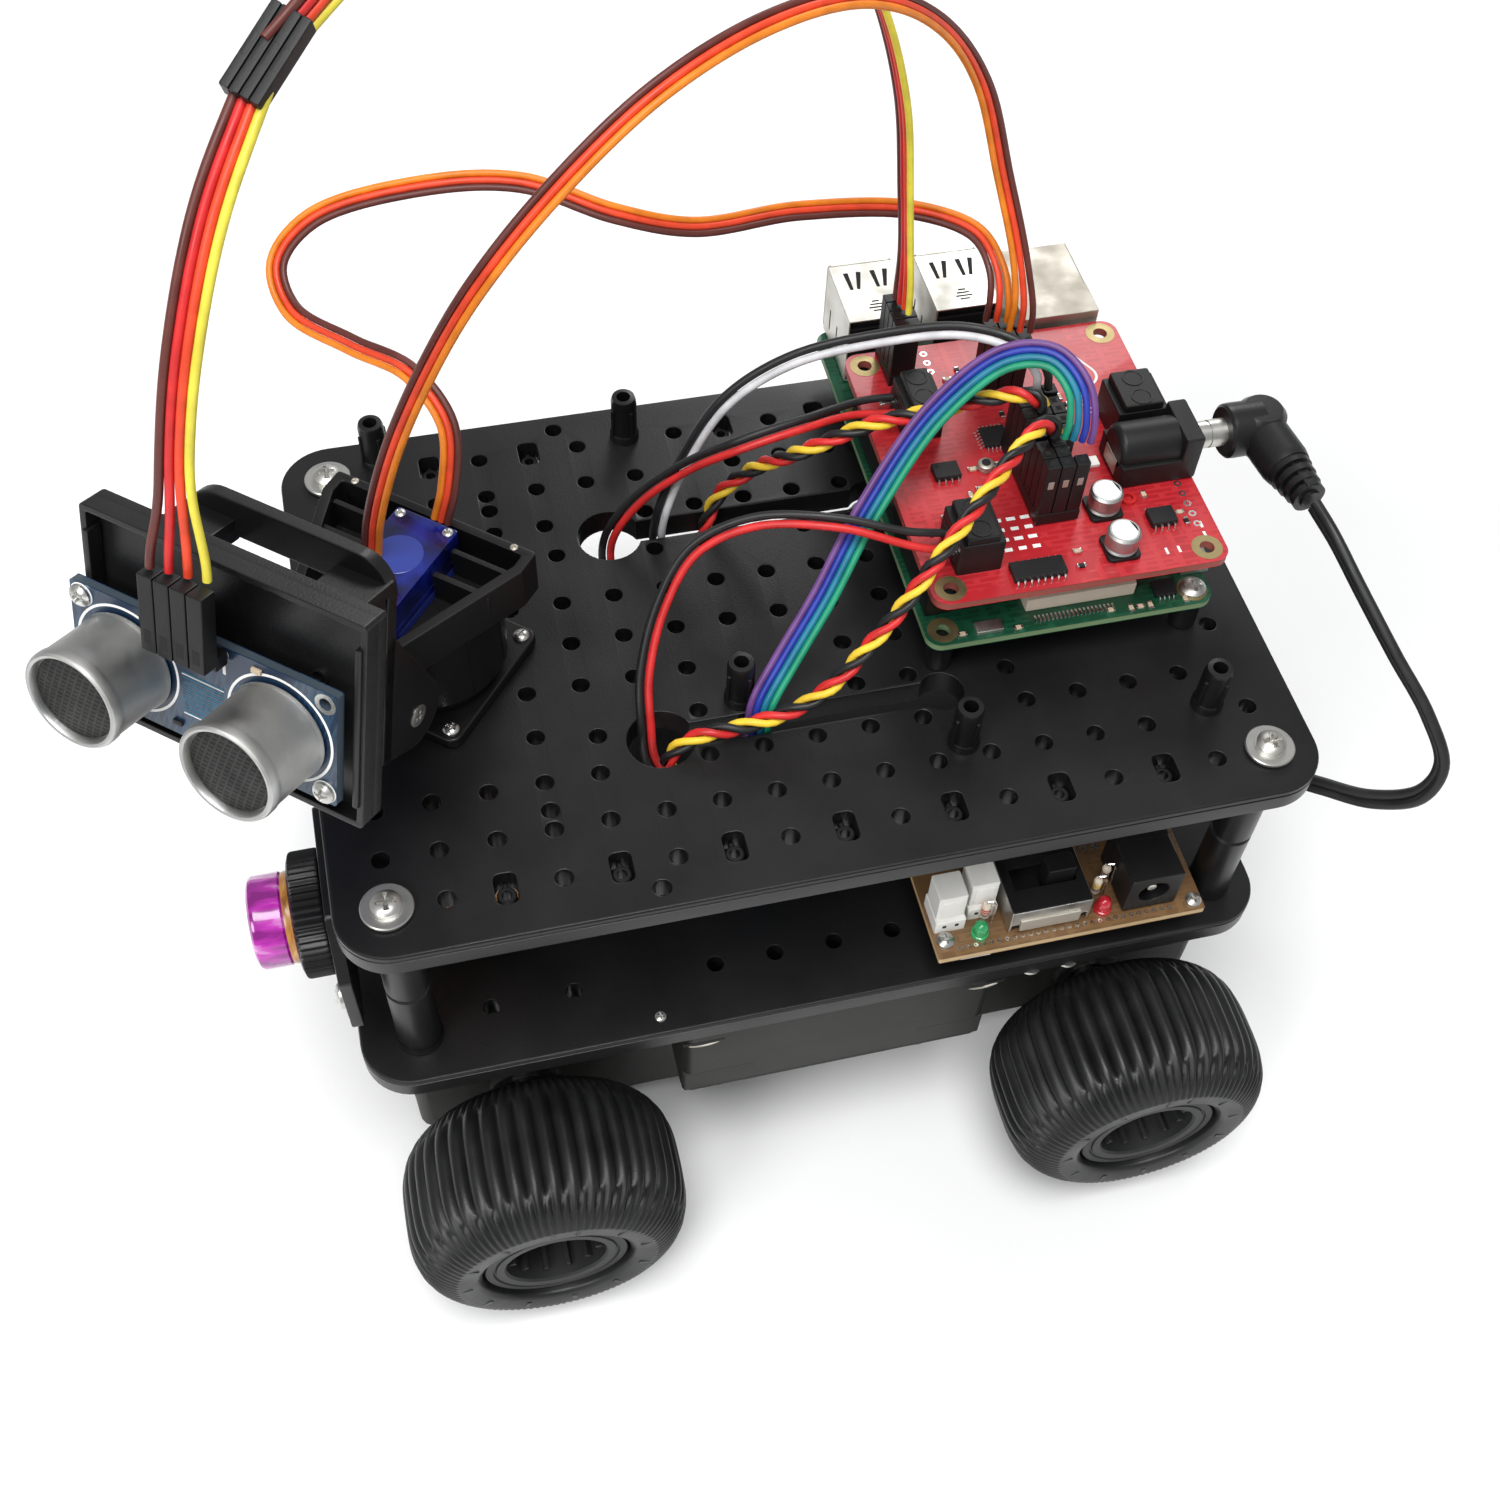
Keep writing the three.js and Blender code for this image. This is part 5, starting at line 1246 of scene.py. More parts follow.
def add_expansion_board():
    hat = Piece()
    z = HAT_TOP
    add_board(hat, -43.5, 21.5, 22.45, 78.95, 132.3, z, RED_BOARD, BOARD_HOLES,
              edge_of("red_edge", (0.24, 0.06, 0.045)))
    add_chip(hat, 17.4, 42.7, z, 2.0, 5.0, 1.5, 8)
    add_chip(hat, 9.9, 69.2, z, 1.95, 2.5, 1.5, 4)
    add_chip(hat, -9, 33.4, z, 1.9, 2.5, 1.4, 4)
    add_chip(hat, -16.1, 45.2, z, 2.5, 2.5, 0.9, 6, "xy", 0.8)
    add_capacitor(hat, 5.3, 59.4, z, 3.2, 139)
    add_capacitor(hat, 15.2, 59.2, z, 3.2, 139)
    for box in ((-28.6, -18.4, 28, 35.5, -1), (5, 15.4, 28, 36.5, -1), (-20.4, -10.4, 67, 77, 1)):
        add_terminal(hat, *box[:4], z, 142.9, box[4])
    # Inductors and clusters of small parts
    for x, y in ((-9, 41.2), (-9.4, 46.4)):
        hat.turned([(0, z), (1.5, z), (1.7, z + 0.5), (1.5, z + 1.3), (1.1, z + 1.5), (0, z + 1.5)], NICKEL,
                   moved(x, y), 24)
        hat.turned([(0, z + 1.4), (0.9, z + 1.4), (0.85, z + 1.62), (0, z + 1.62)], CHIP, moved(x, y), 20)
        add_passive(hat, x, y - 2.6, z, True)
        add_passive(hat, x, y + 2.6, z, True)
    for k, (x, y) in enumerate([
        (9, 73.2), (11.4, 73.7), (14.3, 51.3), (3.6, 68.2), (-6.3, 57.6), (-17.8, 51), (-19.9, 51.3),
        (-21.7, 48.6),
        (-4, 38.6), (-2.6, 36.4), (1.6, 33.6), (2.8, 33.6), (1.6, 30.2), (-13, 57.2), (-11, 57.3),
        (-9, 57.2),
        (17.8, 50.9), (17.8, 38.2), (-33, 41), (-35, 43.6), (-30.4, 38.2), (-24, 61), (-22, 61.2),
        (-20, 61),
    ]):
        add_passive(hat, x, y, z, k % 2 == 0, CHIP if k % 3 == 1 else TAN)
    hat.turned(band(0.9, 1.5, z, z + 0.8), WIRE["red"], moved(4.1, 64.9), 20)
    hat.box(-7.4, -5, 60.2, 62.6, z, z + 0.8, WHITE, 0.15)
    add_pads(hat, [(-41 + 2.54 * k, 38.5) for k in range(3)], z)
    add_pads(hat, [(2 + 2.54 * k, 75.6) for k in range(5)], z)
    # Printed marks: a plain badge outline and rows of bars beside the plugs, with no lettering
    badge = moved(-31, 66) @ Matrix.Rotation(0.5, 4, "Z")
    hat.slab(rect(-5.5, 5.5, -3.6, 3.6, 3.2, 8), [rect(-5, 5, -3.1, 3.1, 2.8, 8)], z - 0.02, z + 0.045,
             SILK, 0, badge)
    add_marks(hat, [(-26 + 1.15 * k, 65.2 + 0.1 * k) for k in range(7)], z, 0.35, 1.8)
    add_marks(hat, [(-41 + 1.1 * k, 59.6) for k in range(6)], z, 0.35, 1.3)
    for row, x in enumerate((4.2, 6.6, 9.0, 11.4)):
        add_marks(hat, [(x, 39.2), (x, 41.9), (x, 44.6)], z, 0.8, 1.7 - 0.2 * (row % 2))
    for x in (-27.6, -25.2):
        add_marks(hat, [(x, 39), (x, 41.4), (x, 43.8)], z, 0.8, 1.5)
    add_marks(hat, [(-35.2, 46), (-35.2, 48.8), (-35.2, 51.6), (-33, 47.2), (-33, 50)], z, 0.8, 1.6)
    add_marks(hat, [(12.5, 76.2), (15, 76), (17.4, 70), (17.4, 67.6)], z, 1.5, 0.5)
    # Bare twisted ends between the motor leads and their terminals
    for x0, y in ((10.2, 28.1), (-23.5, 28.1)):
        for k in (-1, 1):
            hat.tube([(x0 + 2.2 * k, y - 3.2, z + 3.4), (x0 + 2.4 * k, y - 1.4, z + 3.5),
                      (x0 + 2.5 * k, y + 0.2, z + 3.3)], 0.5, SOLDER, 8)
    # Tall plug housings: two for the servos and four in a row for the sonar
    for k in range(2):
        for row in range(3):
            x, y = -32.8 + 3.65 * k, 45.9 + 2.7 * row
            hat.box(x, x + 3.35, y, y + 2.58, z + 2.4, z + 14.7, HOUSING, 0.25)
            hat.box(x + 3.25, x + 3.38, y + 0.7, y + 1.9, z + 9.5, z + 11.4, NICKEL, 0.05)
    for k in range(4):
        x = -43.3 + 2.44 * k
        hat.box(x, x + 2.34, 29.3, 34.3, z + 2.4, z + 14.7, HOUSING, 0.25)
    hat.box(-33, -25.8, 45.8, 54, z - 0.2, z + 2.5, HOUSING, 0.2)
    hat.box(-43.4, -33.6, 29.2, 34.4, z - 0.2, z + 2.5, HOUSING, 0.2)
    hat.make("expansion_board_detail", "chassis", ["expansion_board"])

    plugs = Piece()
    base = z + 0.3
    plugs.box(-14, 7, 45.6, 54, base, base + 2.5, HOUSING, 0.2)
    for column in range(8):
        x0 = -13.9 + 2.61 * column
        for row in range(3):
            y0 = 45.7 + 2.78 * row
            top = base + (14.55 if (column * 3 + row) % 5 else 14.0)
            if column in (5, 6) and row == 2:
                plugs.box(x0 + 0.9, x0 + 1.5, y0 + 1, y0 + 1.6, base, base + 8.5, GOLD, 0.1)
                continue
            plugs.box(x0, x0 + 2.5, y0, y0 + 2.64, base + 2.3, top, HOUSING, 0.22)
            plugs.box(x0 + 2.42, x0 + 2.53, y0 + 0.75, y0 + 1.85, base + 9.2, base + 11, NICKEL, 0.04)
            plugs.box(x0 + 0.7, x0 + 1.8, y0 + 0.8, y0 + 1.8, top - 0.06, top + 0.02, DARK, 0.02)
    plugs.make("signal_plugs", "chassis", ["signal_plug_block"])

    jack = Piece()
    axis = base + 5.4
    jack.box(-9.5, 1.3, 63.8, 79.1, base, base + 5, HOUSING, 0.35)
    profile = [(0, 0), (3.6, 0), (4.3, 0.5), (4.6, 1.2), (4.6, 10.6), (0, 10.6)]
    jack.turned(profile, HOUSING, facing((0, 1, 0), (JACK_X, 63.8, axis)), 48)
    mouth = [(3.2, 0), (4.6, 0), (4.6, 4.4), (4.3, 4.7), (3.2, 4.7)]
    jack.turned(mouth, HOUSING, facing((0, 1, 0), (JACK_X, 74.4, axis)), 48)
    jack.box(-9.55, 1.35, 75.4, 79.15, base, axis + 4.7, HOUSING, 0.4)
    jack.rod(1, (JACK_X, 69, axis), (JACK_X, 78.4, axis), TIN, 20)
    jack.box(JACK_X - 2.6, JACK_X + 2.6, 63.65, 63.9, base + 1, base + 4.5, NICKEL, 0.05)
    jack.make("expansion_power_jack_detail", "chassis", ["expansion_power_jack"])


def add_power_board():
    board = Piece()
    z = POWER_TOP
    add_board(board, 29.3, 59.3, 19.3, 74.3, 71.4, z, BROWN_BOARD, [], BOARD_EDGE, 0.4)
    for x, y in ((54.1, 22.4), (54.4, 71.6), (32.5, 22.4), (32.5, 71.6)):
        board.rod(2.2, (x, y, 65.8), (x, y, 71.3), BLACK, 24)
    board.screw((55.6, 21.6, z), (0, 0, 1), 1.75, 1.3)
    board.screw((57.2, 72.4, z), (0, 0, 1), 1.6, 1.2)
    for x0, y0, y1 in ((46.4, 19.9, 26.1), (44.8, 27, 33)):
        board.box(x0, x0 + 7.2, y0, y1, z - 0.2, z + 3.6, WHITE, 0.25)
        board.box(x0 + 0.3, x0 + 6.2, y0 + 0.2, y1 - 0.2, z + 3.4, z + 10.9, WHITE, 0.3)
        board.box(x0 + 6, x0 + 6.5, y0 + 1, y1 - 1, z + 4.4, z + 9.6, WHITE, 0.2)
        for k in range(2):
            y = (y0 + y1) / 2 - 1.27 + 2.54 * k
            board.box(x0 + 7.1, x0 + 7.22, y - 0.4, y + 0.4, z + 1.6, z + 2.5, DARK, 0.03)
    for (x, y), lens in (((55.4, 28.6), GREEN_LED), ((55.2, 54), RED_LED)):
        dome = [(0, z), (1.75, z), (1.75, z + 0.8), (1.5, z + 0.9), (1.5, z + 2.6), (1.2, z + 3.5),
                (0.6, z + 4), (0, z + 4.1)]
        board.turned(dome, lens, moved(x, y), 32)
    for (x, y), stripe in (((52.6, 30.2), "red"), ((51.8, 53.4), "yellow"), ((49.5, 56), "brown")):
        bead = [(0, 0), (0.7, 0.1), (0.95, 0.8), (0.8, 1.4), (0.8, 3.6), (0.95, 4.2), (0.7, 4.9), (0, 5)]
        upright = moved(x, y, z + 1.2)
        board.turned(bead, CREAM, upright, 20)
        for low in (1.5, 2.4, 3.2):
            board.turned(band(0.6, 0.84, low, low + 0.35), WIRE[stripe if low > 2 else "brown"], upright,
                         20)
        board.tube([(x, y, z + 6), (x, y, z + 7.2), (x + 0.5, y + 0.9, z + 7.6),
                    (x + 0.7, y + 1.4, z + 6.6), (x + 0.7, y + 1.4, z)], 0.25, SOLDER, 6)
        board.rod(0.25, (x, y, z), (x, y, z + 1.4), SOLDER, 8)
    add_chip(board, 36, 32, z, 3.2, 4.8, 3.2, 4)
    add_chip(board, 36, 60, z, 2.6, 4.0, 1.6, 4)
    add_capacitor(board, 36.5, 45, z, 3.6, z + 9)
    add_pads(board, [(57.6, 24 + 1.6 * k) for k in range(28)], z, 0.45, 0.2)
    add_pads(board, [(41, 35 + 2.5 * k) for k in range(10)], z, 0.8, 0.3)
    board.tube([(58.6, 24, 70.9), (58.6, 30, 70.8)], 0.5, SOLDER, 8)
    board.make("power_board_detail", "chassis", ["power_board"])

    base = z + 0.3
    shell = Piece()
    shell.slab(rect(42, 56.5, 34.1, 50.3, 0.5), [rect(46.8, 51.6, 36, 48.6, 0.4)], base + 6.5, base + 7.2,
               HOUSING, 0.15)
    for y0, y1 in ((34, 34.5), (49.9, 50.4)):
        shell.box(42, 56.6, y0, y1, base, base + 7, STEEL, 0.1)
    for x0, x1 in ((42, 42.5), (56.1, 56.6)):
        shell.box(x0, x1, 34.2, 50.2, base + 2.4, base + 7, STEEL, 0.1)
    shell.box(42.7, 56, 34.7, 49.7, base, base + 3.3, HOUSING, 0.2)
    shell.box(56.4, 57.1, 36, 48.4, base + 0.6, base + 4.2, NICKEL, 0.2)
    for y in (37, 42.2, 47.4):
        shell.box(45, 53, y - 0.4, y + 0.4, base, base + 0.8, SOLDER, 0.1)
    shell.make("power_switch_shell", "chassis", ["power_switch_frame"])
    slider = Piece()
    slider.box(47.2, 51.2, 42.4, 48.2, base + 3.8, base + 11, BLACK, 0.35)
    for k in range(3):
        slider.box(47.5, 50.9, 43.5 + 1.5 * k, 44 + 1.5 * k, base + 10.8, base + 11.02, BLACK, 0.1)
    slider.make("power_switch_knob", "switch_slider", ["power_switch_slider"])

    jack = Piece()
    hole = ring(-63, base + 5.6, 3.1, 32)
    jack.slab(rect(-68.5, -57.5, base, base + 10.8, 0.6), [hole], 47.5, 56.8, HOUSING, 0.25, SIDE)
    jack.box(44, 47.6, 57.5, 68.5, base, base + 10.8, HOUSING, 0.3)
    jack.rod(1, (46, 63, base + 5.6), (55.8, 63, base + 5.6), TIN, 20)
    jack.make("charge_jack_detail", "chassis", ["charge_jack"])


# Sensors and head

def add_proximity_sensor():
    x, z = 34.6, 91
    back = facing((0, -1, 0), (x, -57, z))
    barrel = Piece()
    threads = []
    for k in range(26):
        height = 8 + k * 1.25
        threads += [(8.5, height), (8.25, height + 0.45), (8.5, height + 0.9)]
    profile = [(0, 0), (4, 0), (4, 6), (8.2, 7), *threads, (8.5, 41.5), (8.3, 42), (0, 42)]
    barrel.turned(profile, AMBER, back, 56)
    lens = [(0, 41.9), (8.2, 41.9), (8.6, 42.4), (8.6, 47), (8.3, 47.7), (7.6, 48.1), (6.6, 48),
            (6.2, 47.4), (0, 47.2)]
    barrel.turned(lens, LENS_CAP, back, 64)
    for side in (-1, 1):
        barrel.rod(2.3, (x + side * 3.1, -103.6, z), (x + side * 3.1, -104.4, z), DARK, 24)
    barrel.turned([(0, -0.6), (2.6, -0.6), (3.2, 0.5), (3.2, 6), (0, 6)], HOUSING, back, 28)
    barrel.make("proximity_sensor", "chassis", ["proximity_barrel"])

    def knurl(angle, radius, height):
        return -0.45 * (0.5 - 0.5 * math.cos(52 * angle)) if radius > 11 else 0

    nut = Piece()
    profile = [(8.9, 34.5), (10.4, 34.4), (11.5, 34.9), (11.7, 35.4), (11.7, 39.6), (11.5, 40.1),
               (10.4, 40.5), (8.9, 40.5)]
    nut.turned(profile, BLACK, back, 52 * 6, knurl)
    nut.make("proximity_front_nut_knurled", "chassis", ["proximity_front_nut"])
    rear = Piece()
    rear.slab(rounded(ring(0, 0, 10.3, 6), 0.8), [ring(0, 0, 8.9, 40)], 27, 31.5, BLACK, 0.4, back)
    rear.make("proximity_rear_nut_detail", "chassis", ["proximity_rear_nut"])

    bracket = Piece()
    hole = ring(x, z, 8.9, 48)
    wall = rounded([(22, 84), (28, 79), (53.4, 79), (53.4, 96), (46, 107.2), (22, 107.2)], 1.6)
    bracket.slab(wall, [hole], 88.8, 91.1, BLACK, 0.3, FRONT)
    bracket.box(22.5, 44, -90, -72, 104.9, 107.2, BLACK, 0.3)
    for rib in (23.4, 42.6):
        bracket.slab(rounded([(88.9, 98), (88.9, 105.2), (80, 105.2)], 0.5), [], rib - 0.7, rib + 0.7,
                     BLACK, 0.15,
                     SIDE)
    bracket.screw((49.6, -91.2, 86), (0, -1, 0), 2.5, 1.6)
    bracket.make("proximity_bracket_detail", "chassis", ["proximity_bracket"])


def add_servo(name, at, body, node, half, back, front, bottom, lid):
    """A micro servo seen from outside: tinted case in three tiers, ears, lid screws and its label."""
    servo = Piece(at)
    span = lid - bottom
    seams = [bottom, bottom + 0.2 * span, bottom + 0.78 * span, lid]
    for low, high in zip(seams, seams[1:]):
        servo.box(-half, half, -front, back, low + 0.06, high - 0.06, SERVO, 0.45)
    servo.box(-half + 0.4, half - 0.4, -front + 0.4, back - 0.4, bottom + 0.4, lid - 0.5, SERVO, 0.3)
    ear = rect(-half, half, -front - 4.4, back + 4.4, 0.6)
    holes = [ring(0, -front - 2.4, 1.0, 20), ring(0, back + 2.4, 1.0, 20)]
    servo.slab(ear, holes, bottom + 4.3, bottom + 6.5, SERVO, 0.2)
    servo.box(-half - 0.03, half + 0.03, -front + 3, back - 3, bottom + 8, lid - 6.5, LABEL, 0.05)
    servo.turned([(2.7, bottom - 3.7), (5.6, bottom - 3.7), (5.8, bottom - 3.4), (5.8, bottom + 0.3),
                  (2.7, bottom + 0.3)], SERVO, None, 36)
    servo.turned(band(0, 2.5, bottom - 3.2, bottom), WHITE, None, 24)
    for x in (-half + 1.35, half - 1.35):
        for y in (-front + 1.4, back - 1.4):
            servo.screw((x, y, lid - 0.1), (0, 0, 1), 0.95, 0.5, STEEL, 20)
    servo.turned([(0, lid - 0.05), (4.3, lid - 0.05), (4.2, lid + 0.02), (0, lid + 0.02)], LABEL,
                 moved(0, (back - front) / 2 + 2), 40)
    servo.make(name, body, [node])


def add_pan_head():
    base = Piece(PAN)
    base.slab(rect(-14.5, 14.5, -14.5, 14.5, 2, 6), [], 113.3, 115.6, BLACK, 0.5, steps=3)
    boss = [(0, 115.4), (12.6, 115.4), (12.6, 117.4), (12.2, 118), (4.4, 118), (4.2, 118.3), (2.2, 118.3),
            (2.2, 123.4), (0, 123.5)]
    base.turned(boss, BLACK, None, 56)
    for x in (-12.1, 12.1):
        for y in (-12.1, 12.1):
            base.screw((x, y, 115.5), (0, 0, 1), 1.5, 1.0)
    base.make("pan_base_detail", "chassis", ["pan_base"])

    add_servo("pan_servo_detail", PAN, "pan_head", "pan_servo", 6.1, 6, 16.8, 124.8, 147.5)
    add_tilt_servo()

    yoke = Piece(PAN)
    tray_floor, rim = 138, 147
    drum = [(6.4, 118.5), (13.9, 118.5), (14.4, 119), (14.4, tray_floor), (12.6, tray_floor), (12.6, 120.8),
            (6.4, 120.8)]
    yoke.turned(drum, BLACK, None, 64)
    for k in range(10):
        spin = Matrix.Rotation(2 * math.pi * (k + 0.5) / 10, 4, "Z")
        yoke.box(14.1, 14.6, -1.1, 1.1, 119.4, tray_floor - 0.4, BLACK, 0.15, spin)
    outline = [(20, 8.4), (-20, 8.4), (-20, 3.5), (-10.5, -21.2), (10.5, -21.2), (20, 3.5)]
    lining = [(18, 6.6), (-18, 6.6), (-18, 3.9), (-9.2, -19.4), (9.2, -19.4), (18, 3.9)]
    well = rect(-6.4, 6.4, -17.1, 6.3, 0.4)
    yoke.slab(rounded(outline, 0.8), [rounded(lining, 0.6)], tray_floor, rim, BLACK, 0.35)
    yoke.slab(moved_in(outline[::-1], -0.6)[::-1], [well], tray_floor, tray_floor + 2, BLACK, 0.2)
    for sign in (-1, 1):
        yoke.box(*sorted((sign * 6.5, sign * 17.5)), -3.5, -2.4, tray_floor + 1.8, rim - 1.2, BLACK, 0.15)
        yoke.box(*sorted((sign * 6.5, sign * 17.5)), 2.4, 3.4, tray_floor + 1.8, rim - 1.2, BLACK, 0.15)
        yoke.screw((sign * 16, 7.5, rim - 0.1), (0, 0, 1), 0.7, 0.35, NICKEL, 20)
    yoke.make("pan_yoke_detail", "pan_head", ["pan_yoke"])


def add_tilt_servo():
    """The servo lies on its side: its length is upright and its shaft points to +x."""
    at = PAN @ moved(0, -TILT_FORWARD, TILT_HEIGHT)
    servo = Piece(at)
    seams = [-13.6, -8.8, 4.6, 9]
    for low, high in zip(seams, seams[1:]):
        servo.box(low + 0.06, high - 0.06, -5.9, 5.9, -16.8, 6, SERVO, 0.45)
    servo.box(-13.2, 8.6, -5.5, 5.5, -16.4, 5.6, SERVO, 0.3)
    servo.slab(rect(-5.9, 5.9, -21.1, 10.3, 0.6), [ring(0, -19, 1.0, 20), ring(0, 8.2, 1.0, 20)], 1.5, 3.7,
               SERVO, 0.2, EDGE)
    servo.box(-11.8, -2.5, -5.93, 5.93, -14, 3.4, LABEL, 0.05)
    out = facing((1, 0, 0))
    servo.turned([(2.7, 8.8), (5.8, 8.8), (5.8, 12.4), (5.6, 12.7), (2.7, 12.7)], SERVO, out, 36)
    servo.turned(band(0, 1.9, 8.8, 9.6), WHITE, out, 24)
    for y in (-4.5, 4.5):
        for z in (-15.3, 4.6):
            servo.screw((-13.5, y, z), (-1, 0, 0), 0.95, 0.5, STEEL, 20)
    servo.make("tilt_servo_detail", "pan_head", ["tilt_servo"])


def add_sonar_head():
    bracket = Piece(TILT)
    left, right, low, high = -16.7, 30.3, 5.9, 42.4
    outline = rect(left, right, low, high, 0.7, 4)
    window = rect(left + 1.1, right - 1.1, low + 1.1, high - 1.1, 0.4, 4)
    bracket.slab(outline, [], 27.05, 29.4, BLACK, 0.35, FRONT)
    bracket.slab(outline, [window], 29, 31.9, BLACK, 0.15, FRONT)
    for x in (left + 9, right - 9):
        bracket.turned([(0, 29.3), (1.3, 29.3), (1.3, 29.9), (1.0, 29.9), (0.9, 29.45), (0, 29.45)], BLACK,
                       FRONT @ moved(x, high - 14), 24)
    for x in (left + 0.6, right - 1.6):
        bracket.box(x, x + 1, -32.4, -29.6, low + 4, high - 4, BLACK, 0.2)
    # The arch behind the frame, its feet on the tilt axis and the ledges that carry the frame
    bracket.slab(arch_band(), [], 7.2, 9.8, BLACK, 0.35, FRONT)
    for x0, x1 in ((-17, -14.4), (16.4, 19)):
        cheek = arc(0, 0, 6.4, 150, 290, 12) + [(9.6, -3.8), (9.8, 12), (27.2, 12), (27.2, 18.6),
                                                (9.8, 18.6), (8.6, 22), (7.2, 20)]
        bracket.slab(cheek, [ring(0, 0, 1.2, 20)], x0, x1, BLACK, 0.3, SIDE)
    for x0, x1 in ((-17, -8), (10, 19)):
        bracket.box(x0, x1, -27.3, -8, 29, 31.4, BLACK, 0.3)
        bracket.box(x0 + 0.4, x0 + 1.6, -27.2, -8.2, 27, 29.2, BLACK, 0.2)
        bracket.box(x1 - 1.6, x1 - 0.4, -27.2, -8.2, 27, 29.2, BLACK, 0.2)
    bracket.rod(2.1, (9.9, 0, 0), (17.5, 0, 0), WHITE, 28)
    bracket.screw((19, 0, 0), (1, 0, 0), 2.0, 0.3, STEEL, 28)
    bracket.rod(1.4, (-17.2, 0, 0), (-13.8, 0, 0), NICKEL, 20)
    bracket.make("sonar_bracket_detail", "sonar_head", ["sonar_bracket"])

    board = Piece(TILT)
    middle, up, face = 4.8, 20.4, 34
    x0, x1, z0, z1 = middle - 22.5, middle + 22.5, up - 10, up + 10
    corners = [(x0 + 2, z1 - 2), (x1 - 2, z0 + 2)]
    others = [(x0 + 2, z0 + 2), (x1 - 2, z1 - 2)]
    holes = [ring(x, z, 0.9, 20) for x, z in others]
    outline = rect(x0, x1, z0, z1, 0.5)
    board.slab(moved_in(outline, 0.04), holes, 32.5, 33.9, edge_of("blue_edge", (0.03, 0.045, 0.06)), 0,
               FRONT)
    for low_z, high_z in ((32.4, 32.55), (33.85, 34)):
        board.slab(outline, holes, low_z, high_z, BLUE_BOARD, 0.03, FRONT)
    for x, z in corners:
        board.turned(band(0, 1.9, 34, 34.05), SILK, FRONT @ moved(x, z), 28)
        board.screw((x, -34.05, z), (0, -1, 0), 1.75, 1.2)
    for x, z in others:
        board.turned(band(1.0, 1.7, 33.98, 34.05), SOLDER, FRONT @ moved(x, z), 24)
    for sign in (-1, 1):
        board.turned(band(8.5, 8.9, 33.98, 34.05), SILK, FRONT @ moved(middle + sign * 13, up), 64)
    for k in range(9):
        z = up - 5.4 + 0.9 * k
        board.box(middle - 3.6, middle + 3.6, -34.04, -33.98, z, z + 0.16,
                  SILK if k % 8 == 0 else BLUE_BOARD, 0.01)
        board.tube([(middle - 3.4, -34.0, z + 0.4), (middle + 3.4, -34.0, z + 0.4)], 0.09, WIRE["teal"], 6)
    for k in range(4):
        x = 1 + 2.54 * k
        board.turned([(0.4, 33.98), (0.85, 33.98), (0.8, 34.12), (0.4, 34.12)], SOLDER,
                     FRONT @ moved(x, 29.2), 16)
        board.box(x - 0.25, x + 0.25, -34.04, -33.99, 25.6, 27.2, SILK, 0.01)
    for k, (x, z) in enumerate([(middle - 4.6, up - 7.6), (middle + 4.2, up - 7.8), (middle - 1, up - 8),
                                (middle + 9.4, up + 8.6), (middle - 9.4, up + 8.8)]):
        board.box(x - 0.8, x + 0.8, -34.5, -33.98, z - 0.4, z + 0.4, TAN if k % 2 else CHIP, 0.08)
    board.make("sonar_board_detail", "sonar_head", ["sonar_board"])

    for side, sign in SIDES.items():
        can = Piece(TILT)
        at = moved(middle + sign * 13, -face - 0.3, up) @ facing((0, -1, 0))
        shell = [
            (0, 0), (7.6, 0), (7.85, 0.3), (7.85, 0.9), (7.65, 1.2), (7.65, 9.6), (7.84, 10.1),
            (7.86, 11.1),
            (7.7, 11.6), (7.35, 11.84), (6.95, 11.75), (6.7, 11.3), (6.65, 10.5), (0, 10.5),
        ]
        can.turned(shell, CAN, at, 72)
        dome = [(0, 10.4), (6.6, 10.4), (6.5, 10.7), (4.5, 10.85), (0, 10.9)]
        can.turned(dome, GAUZE, at, 56)
        can.make(f"sonar_can_{side}_detail", "sonar_head", [f"sonar_can_{side}"])

    plug = Piece(TILT)
    for k in range(4):
        x = -0.45 + 2.65 * k
        plug.box(x, x + 2.55, -39.9, -36.9, 29.6, 42.3, HOUSING, 0.25)
        plug.box(x + 0.6, x + 1.9, -39.95, -39.6, 31, 33.4, DARK, 0.1)
        plug.box(x + 0.35, x + 2.15, -36.95, -34.4, 28.2, 30.6, HOUSING, 0.2)
        plug.tube([(x + 1.25, -34.2, 29.2), (x + 1.25, -37.6, 29.2), (x + 1.25, -38.3, 29.9),
                   (x + 1.25, -38.4, 31)], 0.28, GOLD, 8)
    plug.make("sonar_plug_detail", "sonar_head", ["sonar_plug"])


def arch_band():
    """The arch as one closed band: up the outside, over, and back down the inside."""
    outside = [(19, -4)] + arc(13.5, 29.1, 5.5, 0, 90, 8) + arc(-11.5, 29.1, 5.5, 90, 180, 8) + [(-17, -4)]
    inside = [(-14.4, -4)] + arc(-11.4, 25.4, 3, 180, 90, 6) + arc(13.4, 25.4, 3, 90, 0, 6) + [(16.4, -4)]
    return outside + inside


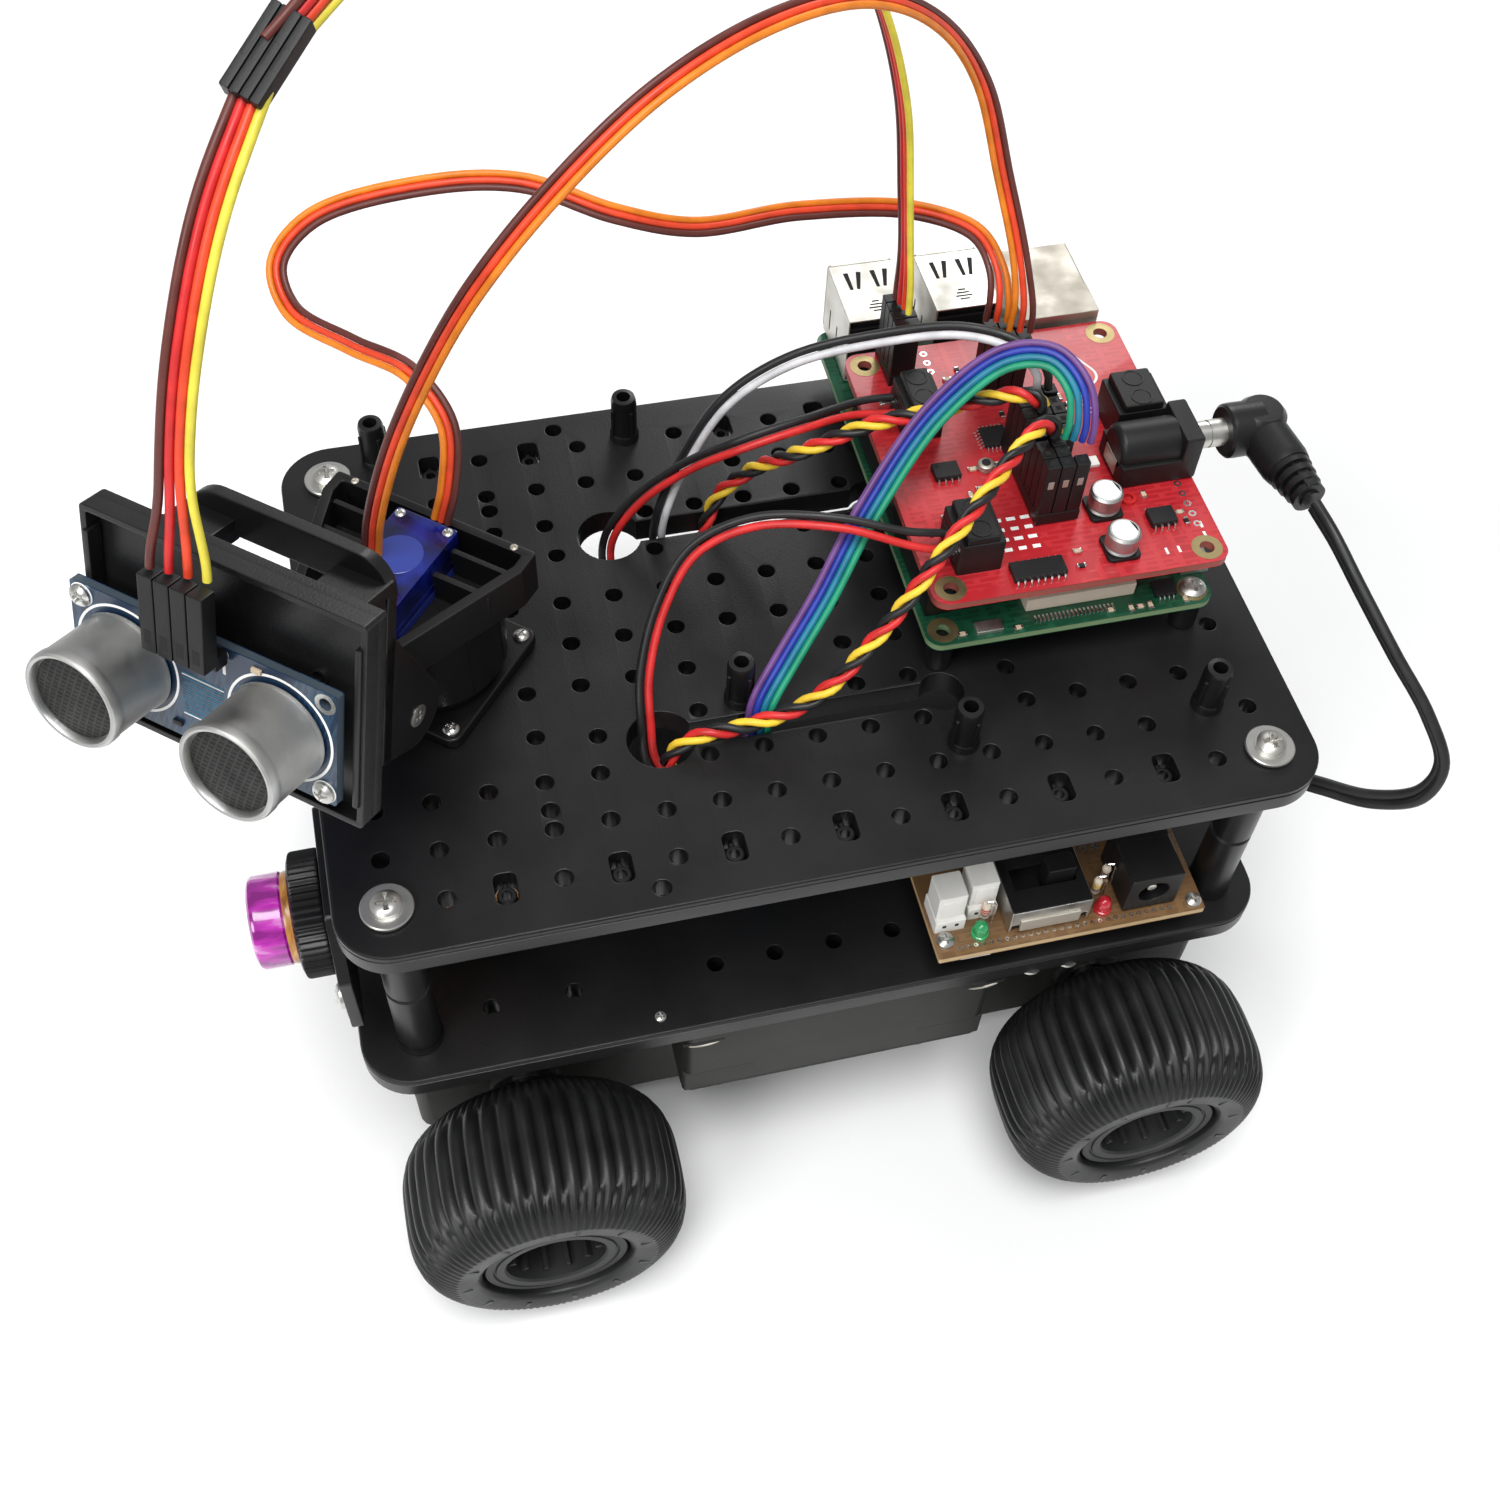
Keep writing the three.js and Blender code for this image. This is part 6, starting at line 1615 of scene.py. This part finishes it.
def add_power_plug():
    """The right-angled plug: bright barrel, round elbow, and a slotted relief at the cord."""
    plug = Piece()
    z = HAT_TOP + 5.7
    rear = facing((0, 1, 0), (JACK_X, 0, z))
    barrel = [(1.3, 79.7), (2.6, 79.7), (2.6, 81.9), (2.45, 82), (2.45, 82.4), (2.6, 82.5), (2.6, 86),
              (1.3, 86)]
    plug.turned(barrel, TIN, rear, 40)
    plug.turned([(0, 85.6), (4.6, 85.6), (5.1, 86.1), (5.2, 87), (5.1, 92.8), (0, 92.8)], BLACK, rear, 48)
    plug.turned([(0, z - 4.8), (3.6, z - 4.7), (4.7, z - 3.4), (5, z - 1), (5, z + 1), (4.7, z + 3.4),
                 (3.6, z + 4.7),
                 (0, z + 4.8)], BLACK, moved(JACK_X, 92.7), 40)
    arm = facing(Vector((math.cos(0.12), math.sin(0.12), 0)), (JACK_X - 0.3, 92.6, z))
    plug.turned([(0, -0.5), (4.6, -0.5), (4.6, 10.5), (4.3, 12), (0, 12)], BLACK, arm, 40)
    relief = [(0, 11.8)]
    for k in range(4):
        start = 12 + 2.1 * k
        wide = 4.1 - 0.3 * k
        relief += [(wide, start), (wide, start + 1.3), (wide - 1.2, start + 1.4), (wide - 1.2, start + 2)]
    plug.turned(relief + [(0, 20.2)], BLACK, arm, 32)
    for turn in (0, math.pi):
        spine = arm @ Matrix.Rotation(turn, 4, "Z")
        plug.box(-1.2, 1.2, 2, 3.3, 11.6, 19.4, BLACK, 0.3, spine)
    return plug.make("power_plug_detail", "chassis", ["power_plug"])


def add_stage():
    floor = bpy.data.meshes.new("floor")
    reach = 6.0
    floor.from_pydata([(-reach, -reach, 0), (reach, -reach, 0), (reach, reach, 0), (-reach, reach, 0)], [],
                      [(0, 1, 2, 3)])
    floor.materials.append(plastic("studio_floor", (0.86, 0.86, 0.86), 0.8, grain=40, depth=0.02, edge_highlight=0,
                                   cloud=2))
    made = bpy.data.objects.new("floor", floor)
    bpy.context.scene.collection.objects.link(made)
    world = bpy.data.worlds.new("studio")
    world.use_nodes = True
    world.node_tree.nodes["Background"].inputs["Color"].default_value = (0.97, 0.98, 1, 1)
    world.node_tree.nodes["Background"].inputs["Strength"].default_value = 0.42
    bpy.context.scene.world = world
    bpy.context.scene.view_settings.view_transform = "Standard"
    add_light("overhead", (0.35, -0.1, 1.4), (0, 0, 0.08), 0.8, 17)
    add_light("key", (0.8, -0.9, 1.0), (0, 0, 0.08), 0.6, 9)
    add_light("rim", (-1.0, 0.45, 0.8), (0, 0, 0.1), 0.5, 4)


add_camera()
leads = add_leads()
add_power_plug()
add_lead_joint(leads)
add_decks()
add_tub()
add_wheels()
add_computer()
add_expansion_board()
add_power_board()
add_proximity_sensor()
add_pan_head()
add_sonar_head()
add_stage()
